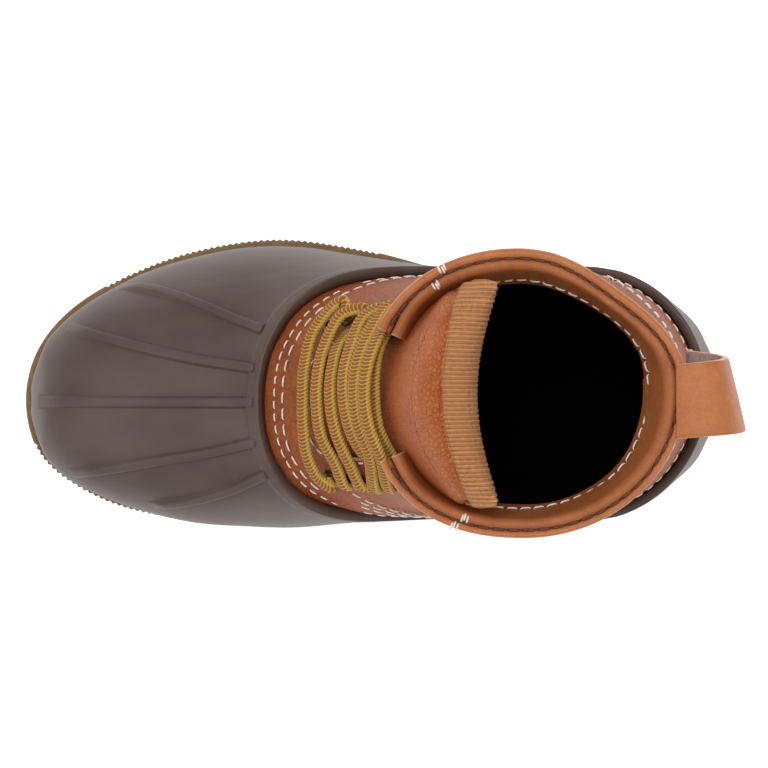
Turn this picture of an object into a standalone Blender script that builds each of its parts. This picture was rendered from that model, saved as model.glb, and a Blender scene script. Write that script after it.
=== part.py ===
"""Child's duck boot, right foot, as an assembly of its real pieces.

Sizes are in millimetres from the back of the heel, and one factor turns them to metres.
+X runs to the toe, +Y to the inner (medial) side of the foot and +Z up.
The last is one function of two parameters: rows run from the toe tip over the foot to the collar,
and each row is a loop in a plane that leans back more and more, from upright at the toe to
level at the collar. The leather lies on the last and the rubber bottom lies outside it.
"""
import math

import bmesh
import bpy
import numpy as np
from mathutils import Matrix, Vector

MM = 0.001

# Driving dimensions, in millimetres
SOLE_LENGTH = 189.8
HEEL_X = -94.5
AXIS_Y = 0.6
GAP = 0.35
LEATHER = 1.9
RUBBER = 2.2
FLOOR_DROP = GAP + RUBBER
INSOLE = 3.0
TUCK = 6.5
TOE_TUCK = 0.5

# Outsole
SOLE_HALF_LENGTH = SOLE_LENGTH / 2
TOOTH_PITCH = 2.6
TOOTH_DEPTH = 0.8
GROOVE_PITCH = 7.0
GROOVE_WIDTH = 2.6
GROOVE_DEPTH = 1.8

# Rubber bottom
RIB_WIDTH = 2.7
RIB_HEIGHT = 1.0
BAND_WIDTH = 4.0
BAND_HEIGHT = 0.8
BAND_RISE = 0.35
BAND_STEPS = 24

# Collar, eyelets, laces, pull loop
CUFF_STEP = 0.7
CUFF_ROW = 20.3
EYELET_HOLE = 1.35
EYELET_BARREL = 2.0
EYELET_FLANGE = 2.8
LACE_RADIUS = 1.5
LACE_LIFT = 0.8
LOOP_THICK = 1.8

# The last. Each row: x and z of the loop's low end and top end, the half width at its widest,
# the half width at the sole, y at the widest, y at the top, how far up it is widest, and how
# square the upper and the lower part of the loop are (2 is an ellipse).
LAST_COLUMNS = ("x_low", "z_low", "x_top", "z_top", "half", "foot", "y_mid", "y_top", "wide", "full", "round")
LAST = (
    (185.8, 17.5, 185.8, 17.5, 0.0, 0.0, 4.6, 4.6, 0.45, 2.1, 2.0),
    (184.3, 13.7, 183.3, 24.2, 10.2, 7.2, 4.5, 4.7, 0.40, 2.1, 2.0),
    (181.2, 12.2, 179.0, 29.2, 15.6, 12.2, 4.1, 4.8, 0.34, 2.1, 2.0),
    (175.0, 11.0, 172.5, 33.6, 21.2, 18.0, 3.4, 4.8, 0.29, 2.15, 2.0),
    (166.0, 9.8, 163.5, 37.4, 26.2, 22.9, 2.3, 4.8, 0.26, 2.15, 2.0),
    (155.0, 8.9, 152.5, 41.0, 30.6, 27.2, 1.2, 4.8, 0.24, 2.2, 2.0),
    (142.0, 8.4, 140.5, 44.6, 33.8, 30.4, 0.4, 4.8, 0.23, 2.2, 2.0),
    (128.0, 8.3, 129.0, 48.4, 35.4, 32.0, -0.6, 4.8, 0.21, 2.2, 2.0),
    (112.0, 8.5, 120.5, 53.4, 35.5, 31.8, -0.5, 4.9, 0.19, 2.35, 2.0),
    (95.0, 9.4, 112.0, 60.6, 33.6, 29.8, 0.1, 5.0, 0.19, 2.6, 2.0),
    (75.0, 11.2, 105.0, 70.0, 31.6, 27.0, 0.5, 4.6, 0.26, 2.75, 1.8),
    (54.0, 13.6, 99.5, 80.0, 31.0, 24.4, 1.2, 4.0, 0.40, 2.6, 1.55),
    (32.0, 15.6, 95.8, 88.5, 31.6, 22.8, 1.9, 3.6, 0.51, 2.45, 1.45),
    (14.5, 16.4, 94.4, 93.0, 32.6, 20.0, 2.2, 3.3, 0.54, 2.35, 1.5),
    (5.2, 18.0, 93.9, 95.4, 33.2, 12.2, 2.3, 3.2, 0.55, 2.3, 1.75),
    (2.6, 25.0, 93.8, 96.8, 33.6, 0.0, 2.3, 3.1, 0.55, 2.3, 2.0),
    (3.4, 36.0, 93.9, 97.9, 33.9, 0.0, 2.3, 3.0, 0.54, 2.3, 2.0),
    (6.6, 50.0, 94.0, 98.8, 34.2, 0.0, 2.3, 3.0, 0.53, 2.3, 2.0),
    (10.2, 65.0, 94.0, 99.5, 34.6, 0.0, 2.3, 3.0, 0.52, 2.3, 2.0),
    (13.3, 82.0, 94.0, 100.1, 35.0, 0.0, 2.2, 3.0, 0.51, 2.3, 2.0),
    (15.4, 98.0, 94.0, 100.6, 35.2, 0.0, 2.1, 3.0, 0.50, 2.3, 2.0),
    (16.4, 110.0, 94.0, 101.0, 35.3, 0.0, 2.0, 3.0, 0.50, 2.3, 2.0),
)
LAST_ROW = len(LAST) - 1
HEEL_ROW = 15

# The rubber's top edge seen from the side. Past the vamp it rises so that the toe is all rubber.
RIM_COLUMNS = ("x", "height")
RIM = (
    (0.0, 57.6), (9.0, 57.0), (20.0, 53.0), (36.0, 46.0), (55.0, 41.6), (75.0, 40.4), (86.0, 42.0),
    (97.0, 45.6), (108.0, 49.4), (118.0, 51.8), (123.0, 52.4), (127.0, 60.0), (160.0, 150.0),
)

# Half of the lace opening, by row of the last
THROAT_ROW = 9.2
THROAT_COLUMNS = ("row", "half")
THROAT = ((9.2, 0.0), (9.3, 6.0), (9.5, 10.5), (9.8, 13.6), (10.4, 15.2), (12.0, 15.9), (21.0, 16.3))

# Outsole outline, by angle round the long axis from the toe (0) to the heel (180)
SOLE_COLUMNS = ("angle", "lateral", "medial")
SOLE = (
    (0, 4.4, 4.4), (15, -9.4, 18.4), (30, -21.0, 27.6), (45, -30.2, 34.6), (60, -37.3, 38.0),
    (75, -40.3, 37.8), (90, -37.0, 34.6), (105, -30.6, 29.8), (120, -26.8, 27.4), (135, -25.4, 27.6),
    (150, -20.4, 24.2), (165, -12.2, 16.6), (180, 2.6, 2.6),
)
# Outsole seen from the side: upper face and tread face
SIDE_COLUMNS = ("x", "top", "tread")
SIDE = (
    (-2.0, 13.0, 2.4), (4.0, 12.9, 0.0), (30.0, 12.4, 0.0), (50.0, 11.2, 0.0), (57.0, 10.6, 2.6),
    (76.0, 8.2, 2.8), (96.0, 6.4, 0.4), (104.0, 6.0, 0.0), (128.0, 5.5, 0.0), (148.0, 5.8, 0.0),
    (160.0, 6.6, 0.6), (172.0, 7.8, 1.9), (182.0, 9.2, 3.6), (192.0, 11.0, 6.0),
)

# Raised ribs of the toe in plan, from the toe edge to the rim band
RIBS = {
    "middle": ((184.5, 4.7), (170.0, 4.8), (150.0, 4.9), (127.6, 4.9)),
    "lateral_inner": ((176.0, -15.0), (167.0, -12.6), (151.0, -8.6), (140.0, -6.4), (127.2, -4.6)),
    "lateral_outer": ((161.5, -26.2), (152.0, -25.2), (141.0, -21.6), (131.0, -17.4), (121.4, -14.0)),
    "medial_inner": ((175.0, 24.0), (166.0, 23.0), (151.0, 20.4), (140.0, 18.8), (127.2, 16.2)),
    "medial_outer": ((153.0, 32.6), (143.0, 31.4), (133.0, 28.8), (120.4, 23.4)),
}

# Eyelets: row of the last on the lateral and on the medial eyestay
EYELET_ROWS = (9.75, 10.35, 11.0, 11.75, 13.0)
EYELET_MARGIN = 7.6
EYELET_TOP = 1.05

# Lace passes over the tongue: the eyelet at each end, where the pass reaches one, and the points
# between, chosen by hand
LACE_PASSES = {
    1: ("lateral_2", ((104.6, -18.8, 66.4), (109.6, -11.4, 65.8), (111.8, -2.0, 66.6), (111.9, 7.0, 67.0),
                      (110.9, 16.0, 66.0), (108.4, 22.6, 64.8)), "medial_1"),
    2: ("lateral_3", ((101.2, -16.6, 73.2), (105.8, -9.8, 73.4), (107.9, -1.0, 75.2), (108.0, 7.0, 75.2),
                      (106.5, 14.4, 74.0), (103.4, 20.4, 72.2)), "medial_2"),
    3: (None, ((102.4, -9.6, 75.4), (104.2, -3.4, 78.4), (104.6, 4.0, 80.2), (103.4, 12.0, 79.6),
               (100.4, 19.4, 77.4)), "medial_3"),
    4: ("lateral_4", ((97.0, -14.4, 81.8), (99.6, -7.8, 84.6), (101.0, 0.4, 87.0), (100.6, 8.0, 86.8),
                      (98.6, 14.6, 84.6)), None),
    5: ("lateral_5", ((94.4, -13.4, 90.2), (97.2, -6.4, 92.4), (98.4, 1.6, 93.4), (97.8, 9.4, 93.0),
                      (95.2, 17.0, 91.0)), "medial_4"),
    6: (None, ((92.4, -11.2, 96.0), (94.9, -4.2, 98.0), (95.8, 3.6, 98.8), (94.8, 11.2, 98.4),
               (92.0, 18.4, 96.0)), "medial_5"),
}

# Tongue: centre line in the side view, half thickness, half width, how far its edges bend back
TONGUE_COLUMNS = ("x", "z", "thick", "half", "bend", "y")
TONGUE = (
    (121.0, 48.9, 0.8, 12.0, 2.2, 5.0),
    (116.0, 52.2, 1.3, 16.0, 4.4, 5.0),
    (108.0, 58.2, 1.6, 19.0, 6.0, 5.0),
    (101.4, 66.0, 2.0, 20.4, 7.4, 4.6),
    (95.4, 76.6, 2.4, 21.2, 8.4, 4.0),
    (90.2, 86.6, 2.7, 22.2, 9.4, 3.4),
    (85.7, 95.6, 3.5, 24.2, 10.3, 3.0),
    (82.2, 103.2, 5.0, 26.6, 10.4, 2.8),
    (78.2, 110.4, 5.8, 27.4, 10.6, 2.6),
    (74.2, 116.2, 5.2, 27.4, 10.2, 2.5),
    (71.0, 119.8, 2.4, 26.4, 9.4, 2.4),
)

# Pull loop: the strap's middle line in the side view, from the collar out and back to the heel
LOOP_PATH = (
    (18.4, 111.15), (15.4, 111.6), (11.2, 113.2), (6.6, 111.8), (3.6, 106.8), (3.0, 100.4), (4.8, 94.2),
    (8.6, 89.9), (12.3, 86.4), (12.15, 83.2),
)
LOOP_WIDTH = 18.5
LOOP_Y = (3.9, 1.8)
LOOP_SKEW = 0.24

COLOURS = {
    "gum_rubber": ((0.16, 0.105, 0.06), 0.6, 0.0),
    "brown_rubber": ((0.105, 0.075, 0.062), 0.5, 0.0),
    "tan_leather": ((0.36, 0.125, 0.035), 0.5, 0.0),
    "tongue_leather": ((0.33, 0.11, 0.04), 0.5, 0.0),
    "black_lining": ((0.004, 0.004, 0.004), 0.95, 0.0),
    "antique_brass": ((0.12, 0.08, 0.045), 0.4, 0.9),
    "gold_brown_lace": ((0.46, 0.31, 0.07), 0.8, 0.0),
}


def clear_scene():
    """Remove what a new Blender file holds."""
    for ob in list(bpy.data.objects):
        bpy.data.objects.remove(ob, do_unlink=True)


def table(rows, columns):
    """Name the columns of a table."""
    values = np.array(rows, dtype=float)
    return {name: values[:, k] for k, name in enumerate(columns)}


def curve_value(keys, values, at):
    """Read a smooth curve through (keys, values): cubic pieces whose slopes are their neighbours' mean."""
    keys = np.asarray(keys, dtype=float)
    values = np.asarray(values, dtype=float)
    at = np.clip(np.asarray(at, dtype=float), keys[0], keys[-1])
    steps = np.diff(keys)
    rises = np.diff(values) / steps
    slopes = np.empty_like(values)
    slopes[1:-1] = (rises[:-1] * steps[1:] + rises[1:] * steps[:-1]) / (steps[:-1] + steps[1:])
    slopes[0] = rises[0]
    slopes[-1] = rises[-1]
    k = np.clip(np.searchsorted(keys, at, side="right") - 1, 0, len(steps) - 1)
    h = steps[k]
    t = (at - keys[k]) / h
    return (values[k] * (1 + 2 * t) * (1 - t) ** 2 + slopes[k] * h * t * (1 - t) ** 2
            + values[k + 1] * t * t * (3 - 2 * t) - slopes[k + 1] * h * t * t * (1 - t))


LAST_TABLE = table(LAST, LAST_COLUMNS)
RIM_TABLE = table(RIM, RIM_COLUMNS)
THROAT_TABLE = table(THROAT, THROAT_COLUMNS)
SOLE_TABLE = table(SOLE, SOLE_COLUMNS)
SIDE_TABLE = table(SIDE, SIDE_COLUMNS)
TONGUE_TABLE = table(TONGUE, TONGUE_COLUMNS)
ROW_NUMBERS = np.arange(len(LAST))


def last_size(name, row):
    """One size of the last at a row, which may lie between two rows of the table."""
    return curve_value(ROW_NUMBERS, LAST_TABLE[name], row)


def last_point(row, round_loop):
    """The last's surface in millimetres.

    round_loop is 0 at the top, 1 at the sole's edge on the medial side and -1 on the lateral side.
    The upper part of a loop is a full oval up to where it is widest, the lower part a quarter
    of an ellipse that ends at the sole's edge, or at the back of the heel.
    """
    row = np.asarray(row, dtype=float)
    round_loop = np.asarray(round_loop, dtype=float)
    side = np.where(round_loop < 0, -1.0, 1.0)
    along = np.abs(round_loop)
    low = np.stack([last_size("x_low", row), last_size("z_low", row)])
    top = np.stack([last_size("x_top", row), last_size("z_top", row)])
    length = np.hypot(*(top - low))
    half = np.maximum(last_size("half", row), 0.0)
    foot = np.clip(last_size("foot", row), 0.0, None)
    foot = np.where(row >= HEEL_ROW, 0.0, foot)
    wide = last_size("wide", row)
    full = last_size("full", row)
    upper_share = half + (1 - wide) * length
    lower_share = np.abs(half - foot) + wide * length
    share = np.clip(upper_share / (upper_share + lower_share + 1e-9), 0.5, 0.84)
    a = np.clip(along / share, 0, 1) * math.pi / 2
    oval = (np.cos(a) ** full + np.sin(a) ** full) ** (-1 / full)
    b = np.clip((along - share) / (1 - share), 0, 1) * math.pi / 2
    lower = last_size("round", row)
    turn = (np.cos(b) ** lower + np.sin(b) ** lower) ** (-1 / lower)
    is_upper = along <= share
    up = np.where(is_upper, wide + (1 - wide) * oval * np.cos(a), wide * (1 - turn * np.sin(b)))
    out = np.where(is_upper, half * oval * np.sin(a), foot + (half - foot) * turn * np.cos(b))
    middle = last_size("y_mid", row) + (last_size("y_top", row) - last_size("y_mid", row)) * up
    x = low[0] + (top[0] - low[0]) * up
    z = low[1] + (top[1] - low[1]) * up
    return np.stack([x, middle + side * out, z], axis=-1)


def last_normal(row, round_loop):
    """Unit normals of the last, pointing out, from small steps along both parameters."""
    row = np.maximum(np.asarray(row, dtype=float), 0.02)
    round_loop = np.asarray(round_loop, dtype=float)
    side = np.where(round_loop < 0, -1.0, 1.0)
    ahead = np.minimum(row + 0.02, LAST_ROW)
    behind = np.maximum(row - 0.02, 0.0)
    along_rows = last_point(ahead, round_loop) - last_point(behind, round_loop)
    inside = side * np.maximum(np.abs(round_loop) - 0.004, 0.0)
    outside = side * np.minimum(np.abs(round_loop) + 0.004, 1.0)
    along_loop = (last_point(row, outside) - last_point(row, inside)) * side[..., None]
    normal = np.cross(along_loop, along_rows)
    at_back = (np.abs(round_loop) > 0.999) & (row >= HEEL_ROW - 0.01)
    on_crest = np.abs(round_loop) < 0.001
    normal[..., 1] = np.where(at_back | on_crest, 0.0, normal[..., 1])
    return normal / np.maximum(np.linalg.norm(normal, axis=-1, keepdims=True), 1e-9)


def offset_point(row, round_loop, outward):
    """The last's surface moved along its normal. At the toe tip the normal is straight ahead."""
    row = np.asarray(row, dtype=float)
    normal = last_normal(row, round_loop)
    normal = np.where((row < 1e-6)[..., None], np.array([1.0, 0.0, 0.0]), normal)
    return last_point(row, round_loop) + normal * np.asarray(outward, dtype=float)[..., None]


def rim_height(x, shift):
    """Height of the rubber's edge at x, moved forward and down by shift."""
    return np.interp(np.asarray(x) - shift, RIM_TABLE["x"], RIM_TABLE["height"]) - shift


def loop_crossing(row, side, shift):
    """Where a loop passes the rim line: 0 if the whole loop is below it, 1 if none is."""
    along = np.linspace(0.0, 1.0, 401)
    points = last_point(np.full(401, float(row)), side * along)
    above = points[:, 2] - rim_height(points[:, 0], shift)
    below = np.nonzero(above < 0)[0]
    if len(below) == 0:
        return 1.0
    k = below[0]
    if k == 0:
        return 0.0
    return float(along[k - 1] + (along[k] - along[k - 1]) * above[k - 1] / (above[k - 1] - above[k]))


def front_row(shift):
    """The row where the rim line crosses the top of the vamp."""
    rows = np.linspace(4.0, 11.0, 1401)
    points = last_point(rows, np.zeros_like(rows))
    above = points[:, 2] - rim_height(points[:, 0], shift)
    return float(rows[np.nonzero(above > 0)[0][0]])


def back_row(shift):
    """The row where the rim line crosses the back of the heel."""
    rows = np.linspace(HEEL_ROW, 20.0, 1001)
    points = last_point(rows, np.ones_like(rows))
    above = points[:, 2] - rim_height(points[:, 0], shift)
    return float(rows[np.nonzero(above > 0)[0][0]])


def throat_crossing(row, side):
    """Where a loop passes the edge of the lace opening."""
    if row <= THROAT_ROW:
        return 0.0
    half = float(curve_value(THROAT_TABLE["row"], THROAT_TABLE["half"], row))
    along = np.linspace(0.0, 0.7, 301)
    points = last_point(np.full(301, float(row)), side * along)
    out = np.abs(points[:, 1] - float(last_size("y_top", row)))
    return float(np.interp(half, out, along))


def to_world(points):
    """From millimetres behind the heel to metres in the part's own frame."""
    points = np.asarray(points, dtype=float)
    return (points + np.array([HEEL_X, AXIS_Y, 0.0])) * MM


def material(name):
    """A Principled material in one of the boot's colours."""
    found = bpy.data.materials.get(name)
    if found:
        return found
    colour, roughness, metallic = COLOURS[name]
    made = bpy.data.materials.new(name)
    made.use_nodes = True
    shader = made.node_tree.nodes["Principled BSDF"]
    shader.inputs["Base Color"].default_value = (*colour, 1.0)
    shader.inputs["Roughness"].default_value = roughness
    shader.inputs["Metallic"].default_value = metallic
    made.diffuse_color = (*colour, 1.0)
    return made


def finish_object(ob, material_name, smooth_angle=40):
    """Give an object its material and smooth shading."""
    ob.data.materials.clear()
    ob.data.materials.append(material(material_name))
    ob.data.shade_smooth()
    ob.data.set_sharp_from_angle(angle=math.radians(smooth_angle))
    return ob


def new_object(name, mesh, collection):
    """Put a mesh in the scene under a name."""
    ob = bpy.data.objects.new(name, mesh)
    collection.objects.link(ob)
    return ob


def mesh_from_faces(name, points, faces, collection):
    """An object from points in millimetres, with coinciding points merged."""
    mesh = bpy.data.meshes.new(name)
    mesh.from_pydata([tuple(p) for p in to_world(points)], [], faces)
    bm = bmesh.new()
    bm.from_mesh(mesh)
    bmesh.ops.remove_doubles(bm, verts=bm.verts, dist=0.02 * MM)
    bmesh.ops.dissolve_degenerate(bm, dist=0.001 * MM, edges=bm.edges)
    bmesh.ops.recalc_face_normals(bm, faces=bm.faces)
    bm.to_mesh(mesh)
    bm.free()
    return new_object(name, mesh, collection)


def walled(name, outer, inner, faces, collection):
    """A closed wall between two layers of the same open surface."""
    keys = {}
    first = []
    index = []
    for k, point in enumerate(np.round(outer, 3)):
        key = tuple(point)
        if key not in keys:
            keys[key] = len(first)
            first.append(k)
        index.append(keys[key])
    clean = []
    for face in faces:
        ring = []
        for corner in (index[k] for k in face):
            if corner not in ring:
                ring.append(corner)
        if len(ring) > 2:
            clean.append(ring)
    count = len(first)
    uses = {}
    for ring in clean:
        for a, b in zip(ring, ring[1:] + ring[:1]):
            uses[(min(a, b), max(a, b))] = uses.get((min(a, b), max(a, b)), 0) + 1
    solid = [list(ring) for ring in clean]
    solid += [[corner + count for corner in reversed(ring)] for ring in clean]
    for ring in clean:
        for a, b in zip(ring, ring[1:] + ring[:1]):
            if uses[(min(a, b), max(a, b))] == 1:
                solid.append([b, a, a + count, b + count])
    points = np.concatenate([outer[first], inner[first]])
    return mesh_from_faces(name, points, solid, collection)


def grid_faces(rows, columns, start=0, flip=False):
    """The triangles of a grid whose points are stored row by row, all split the same way."""
    faces = []
    for i in range(rows - 1):
        for j in range(columns - 1):
            a = start + i * columns + j
            pair = ([a, a + 1, a + columns + 1], [a, a + columns + 1, a + columns])
            faces += [face[::-1] if flip else face for face in pair]
    return faces


def lofted(name, rings, collection):
    """A closed solid from rings of the same number of points, with flat ends."""
    rings = np.asarray(rings, dtype=float)
    count, around = rings.shape[:2]
    faces = []
    for i in range(count - 1):
        for j in range(around):
            k = (j + 1) % around
            faces.append([i * around + j, i * around + k, (i + 1) * around + k, (i + 1) * around + j])
    faces.append(list(range(around))[::-1])
    faces.append([(count - 1) * around + j for j in range(around)])
    return mesh_from_faces(name, rings.reshape(-1, 3), faces, collection)


def apply_boolean(ob, other, operation):
    """Cut or join with an exact Boolean, keep the result as a mesh and drop the tool."""
    step = ob.modifiers.new(operation.lower(), "BOOLEAN")
    step.operation = operation
    step.solver = "EXACT"
    step.object = other
    evaluated = ob.evaluated_get(bpy.context.evaluated_depsgraph_get())
    mesh = bpy.data.meshes.new_from_object(evaluated)
    ob.modifiers.remove(step)
    bm = bmesh.new()
    bm.from_mesh(mesh)
    bmesh.ops.remove_doubles(bm, verts=bm.verts, dist=0.0005 * MM)
    bmesh.ops.dissolve_degenerate(bm, dist=0.0005 * MM, edges=bm.edges)
    bmesh.ops.triangulate(bm, faces=bm.faces)
    bm.to_mesh(mesh)
    bm.free()
    ob.data = mesh
    bpy.data.objects.remove(other, do_unlink=True)


def sole_outline(spacing):
    """The outsole's outline, with teeth where the real edge has them, as points in plan."""
    angles = np.radians(SOLE_TABLE["angle"])
    fine = np.linspace(0, math.pi, 721)
    x = SOLE_HALF_LENGTH * (1 + np.cos(fine))
    outline = []
    for side, first_tooth, last_tooth in (("lateral", 92.0, 168.0), ("medial", 125.0, 187.5)):
        y = curve_value(angles, SOLE_TABLE[side], fine)
        arc = np.concatenate([[0], np.cumsum(np.hypot(np.diff(x), np.diff(y)))])
        stops = [0.0]
        inset = [0.0]
        here = 0.0
        while here < arc[-1] - spacing:
            toothed = first_tooth < float(np.interp(here, arc, x)) < last_tooth
            here += TOOTH_PITCH / 2 if toothed else spacing
            stops.append(min(here, arc[-1]))
            inset.append(TOOTH_DEPTH if toothed and len(stops) % 2 else 0.0)
        stops[-1] = arc[-1]
        px = np.interp(stops, arc, x)
        py = np.interp(stops, arc, y)
        tx = np.gradient(px)
        ty = np.gradient(py)
        size = np.hypot(tx, ty)
        sign = 1.0 if side == "lateral" else -1.0
        px = px + sign * ty / size * np.array(inset)
        py = py - sign * tx / size * np.array(inset)
        points = list(zip(px, py))
        outline.append(points)
    lateral, medial = outline
    return lateral + medial[::-1][1:-1]


def prism(name, outline, direction, depth, collection):
    """A flat outline given a thickness, upright (z) or across the boot (y)."""
    near, far = depth
    if direction == "z":
        low = [(x, y, near) for x, y in outline]
        high = [(x, y, far) for x, y in outline]
    else:
        low = [(x, near, z) for x, z in outline]
        high = [(x, far, z) for x, z in outline]
    return lofted(name, [low, high], collection)


def make_outsole(collection):
    """Gum outsole: its outline cut from a slab with toe spring, arch and heel, then grooved."""
    stations = np.concatenate([np.linspace(-2, 60, 9), np.linspace(68, 140, 8), np.linspace(148, 192, 9)])
    top = np.interp(stations, SIDE_TABLE["x"], SIDE_TABLE["top"])
    tread = np.interp(stations, SIDE_TABLE["x"], SIDE_TABLE["tread"])
    side = list(zip(stations, tread)) + list(zip(stations[::-1], top[::-1]))
    slab = prism("outsole", side, "y", (-60.0, 60.0), collection)
    outline = prism("outline_tool", sole_outline(5.0), "z", (-5.0, 30.0), collection)
    apply_boolean(slab, outline, "INTERSECT")
    grooves = []
    for x in np.arange(12.0, 184.0, GROOVE_PITCH):
        if 53.0 < x < 98.0:
            continue
        tread_here = float(np.interp(x, SIDE_TABLE["x"], SIDE_TABLE["tread"]))
        grooves.append((x, tread_here + GROOVE_DEPTH))
    for number, (x, depth) in enumerate(grooves):
        half = GROOVE_WIDTH / 2
        bar = prism("groove_tool", [(x - half, -4.0), (x + half, -4.0), (x + half * 0.7, depth),
                                    (x - half * 0.7, depth)], "y", (-50.0, 50.0), collection)
        apply_boolean(slab, bar, "DIFFERENCE")
    return finish_object(slab, "gum_rubber", 30)


# Rows of the last that both the rubber and the leather use. Where the two lie over each other
# they share every point, so that the gap between them stays even.
TOE_ROWS = (0.0, 0.3, 0.65, 1.0, 1.5, 2.0, 2.7, 3.5, 4.3, 5.2, 6.1)
SHARED_ROWS = (7.85, 8.1, 8.5, 9.0, 9.2, 9.3, 9.7, 10.2, 10.8, 11.4, 12.0, 12.6, 13.2, 13.8, 14.4, 15.0, 15.6)
COLLAR_ROWS = (18.2, 18.9, 19.6, 20.2, 20.35, 21.0)
LEATHER_CELLS = 6
TUCK_CELLS = 5
RUBBER_CELLS = 5
FLOOR_CELLS = 4
NEAR = 0.05


def overlap_rows():
    """Rows from the front edge of the tucked leather to the top of the rubber at the heel."""
    tucked_front, front = front_row(TUCK), front_row(0.0)
    tucked_back, back = back_row(TUCK), back_row(0.0)
    rows = [tucked_front, (tucked_front + front) / 2, front, front + 0.6 * NEAR]
    rows += [row for row in SHARED_ROWS if front + NEAR < row < tucked_back - NEAR]
    return rows + [tucked_back, (tucked_back + back) / 2, back - NEAR, back]


def loop_stations(row, side):
    """Loop positions of the lace opening's edge, of the rubber's rim and of the leather's hidden edge."""
    throat = throat_crossing(row, side)
    rim = 0.0 if row <= front_row(0.0) else max(loop_crossing(row, side, 0.0), throat)
    tuck = 0.0 if row <= front_row(TUCK) else max(loop_crossing(row, side, TUCK), throat)
    return throat, rim, tuck


def make_rubber_bottom(collection):
    """Moulded rubber bottom: a hollow foot open at the rim, with toe ribs and a band at its edge."""
    overlap = overlap_rows()
    rows = list(TOE_ROWS) + overlap
    columns = TUCK_CELLS + RUBBER_CELLS + 1
    outer = []
    inner = []
    faces = []
    for side in (1, -1):
        start = len(outer)
        for row in rows:
            rim, tuck = loop_stations(row, side)[1:] if row >= overlap[0] else (0.0, TOE_TUCK)
            stations = list(np.linspace(rim, tuck, TUCK_CELLS + 1))
            stations += list(np.linspace(tuck, 1.0, RUBBER_CELLS + 1))[1:]
            for along in stations:
                outer.append(offset_point(np.array(row), np.array(side * along), GAP + RUBBER))
                inner.append(offset_point(np.array(row), np.array(side * along), GAP))
        faces += grid_faces(len(rows), columns, start, flip=side < 0)
    floor_rows = [row for row in rows if row <= HEEL_ROW]
    start = len(outer)
    across = FLOOR_CELLS + 1
    for row in floor_rows:
        edge = offset_point(np.array([row, row]), np.array([1.0, -1.0]), FLOOR_DROP)
        lid = offset_point(np.array([row, row]), np.array([1.0, -1.0]), GAP)
        for share in np.linspace(0, 1, across):
            outer.append(edge[0] * (1 - share) + edge[1] * share)
            inner.append(lid[0] * (1 - share) + lid[1] * share)
    faces += grid_faces(len(floor_rows), across, start)
    shell = walled("rubber_bottom", np.array(outer), np.array(inner), faces, collection)
    apply_boolean(shell, rim_band(collection), "UNION")
    for name, route in RIBS.items():
        apply_boolean(shell, toe_rib(name, route, collection), "UNION")
    return finish_object(shell, "brown_rubber")


def rim_line(shift, count):
    """Row and loop position at even distances along the rim, from the heel round the vamp and back."""
    front, back = front_row(shift), back_row(shift)
    rows = front + (back - front) * (0.5 - 0.5 * np.cos(np.linspace(0, math.pi, 121)))
    lines = []
    for side in (1, -1):
        along = np.array([0.0] + [loop_crossing(row, side, shift) for row in rows[1:-1]] + [1.0])
        points = last_point(rows, side * along)
        run = np.concatenate([[0.0], np.cumsum(np.linalg.norm(np.diff(points, axis=0), axis=1))])
        even = np.linspace(0.0, run[-1], count)
        lines.append(list(zip(np.interp(even, run, rows), side * np.interp(even, run, along))))
    return lines[0][::-1] + lines[1][1:-1]


def rim_band(collection):
    """The raised band round the rubber's edge, as a ring that sinks into the wall."""
    upper = np.array(rim_line(-BAND_RISE, BAND_STEPS))
    lower = np.array(rim_line(BAND_WIDTH, BAND_STEPS))
    top = GAP + RUBBER + BAND_HEIGHT
    deep = GAP + RUBBER * 0.5
    ring = [
        offset_point(upper[:, 0], upper[:, 1], np.full(len(upper), deep)),
        offset_point(upper[:, 0], upper[:, 1], np.full(len(upper), top)),
        offset_point(lower[:, 0], lower[:, 1], np.full(len(lower), top)),
        offset_point(lower[:, 0], lower[:, 1], np.full(len(lower), deep)),
    ]
    around = len(upper)
    points = np.concatenate(ring)
    faces = []
    for a in range(4):
        b = (a + 1) % 4
        for i in range(around):
            k = (i + 1) % around
            faces.append([a * around + i, a * around + k, b * around + k, b * around + i])
    return mesh_from_faces("band_tool", points, faces, collection)


def on_toe(x, y):
    """Row and loop position of the last's upper side under a point in plan."""
    rows, loops = np.meshgrid(np.linspace(0.2, 12.0, 237), np.linspace(-0.8, 0.8, 321), indexing="ij")
    points = last_point(rows, loops)
    miss = np.hypot(points[..., 0] - x, points[..., 1] - y)
    k = np.unravel_index(np.argmin(miss), miss.shape)
    row, loop = rows[k], loops[k]
    for step in (0.02, 0.004):
        near_rows, near_loops = np.meshgrid(row + step * np.arange(-4, 5), loop + step * 0.2 * np.arange(-4, 5),
                                            indexing="ij")
        points = last_point(near_rows, near_loops)
        miss = np.hypot(points[..., 0] - x, points[..., 1] - y)
        k = np.unravel_index(np.argmin(miss), miss.shape)
        row, loop = near_rows[k], near_loops[k]
    return float(row), float(loop)


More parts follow.
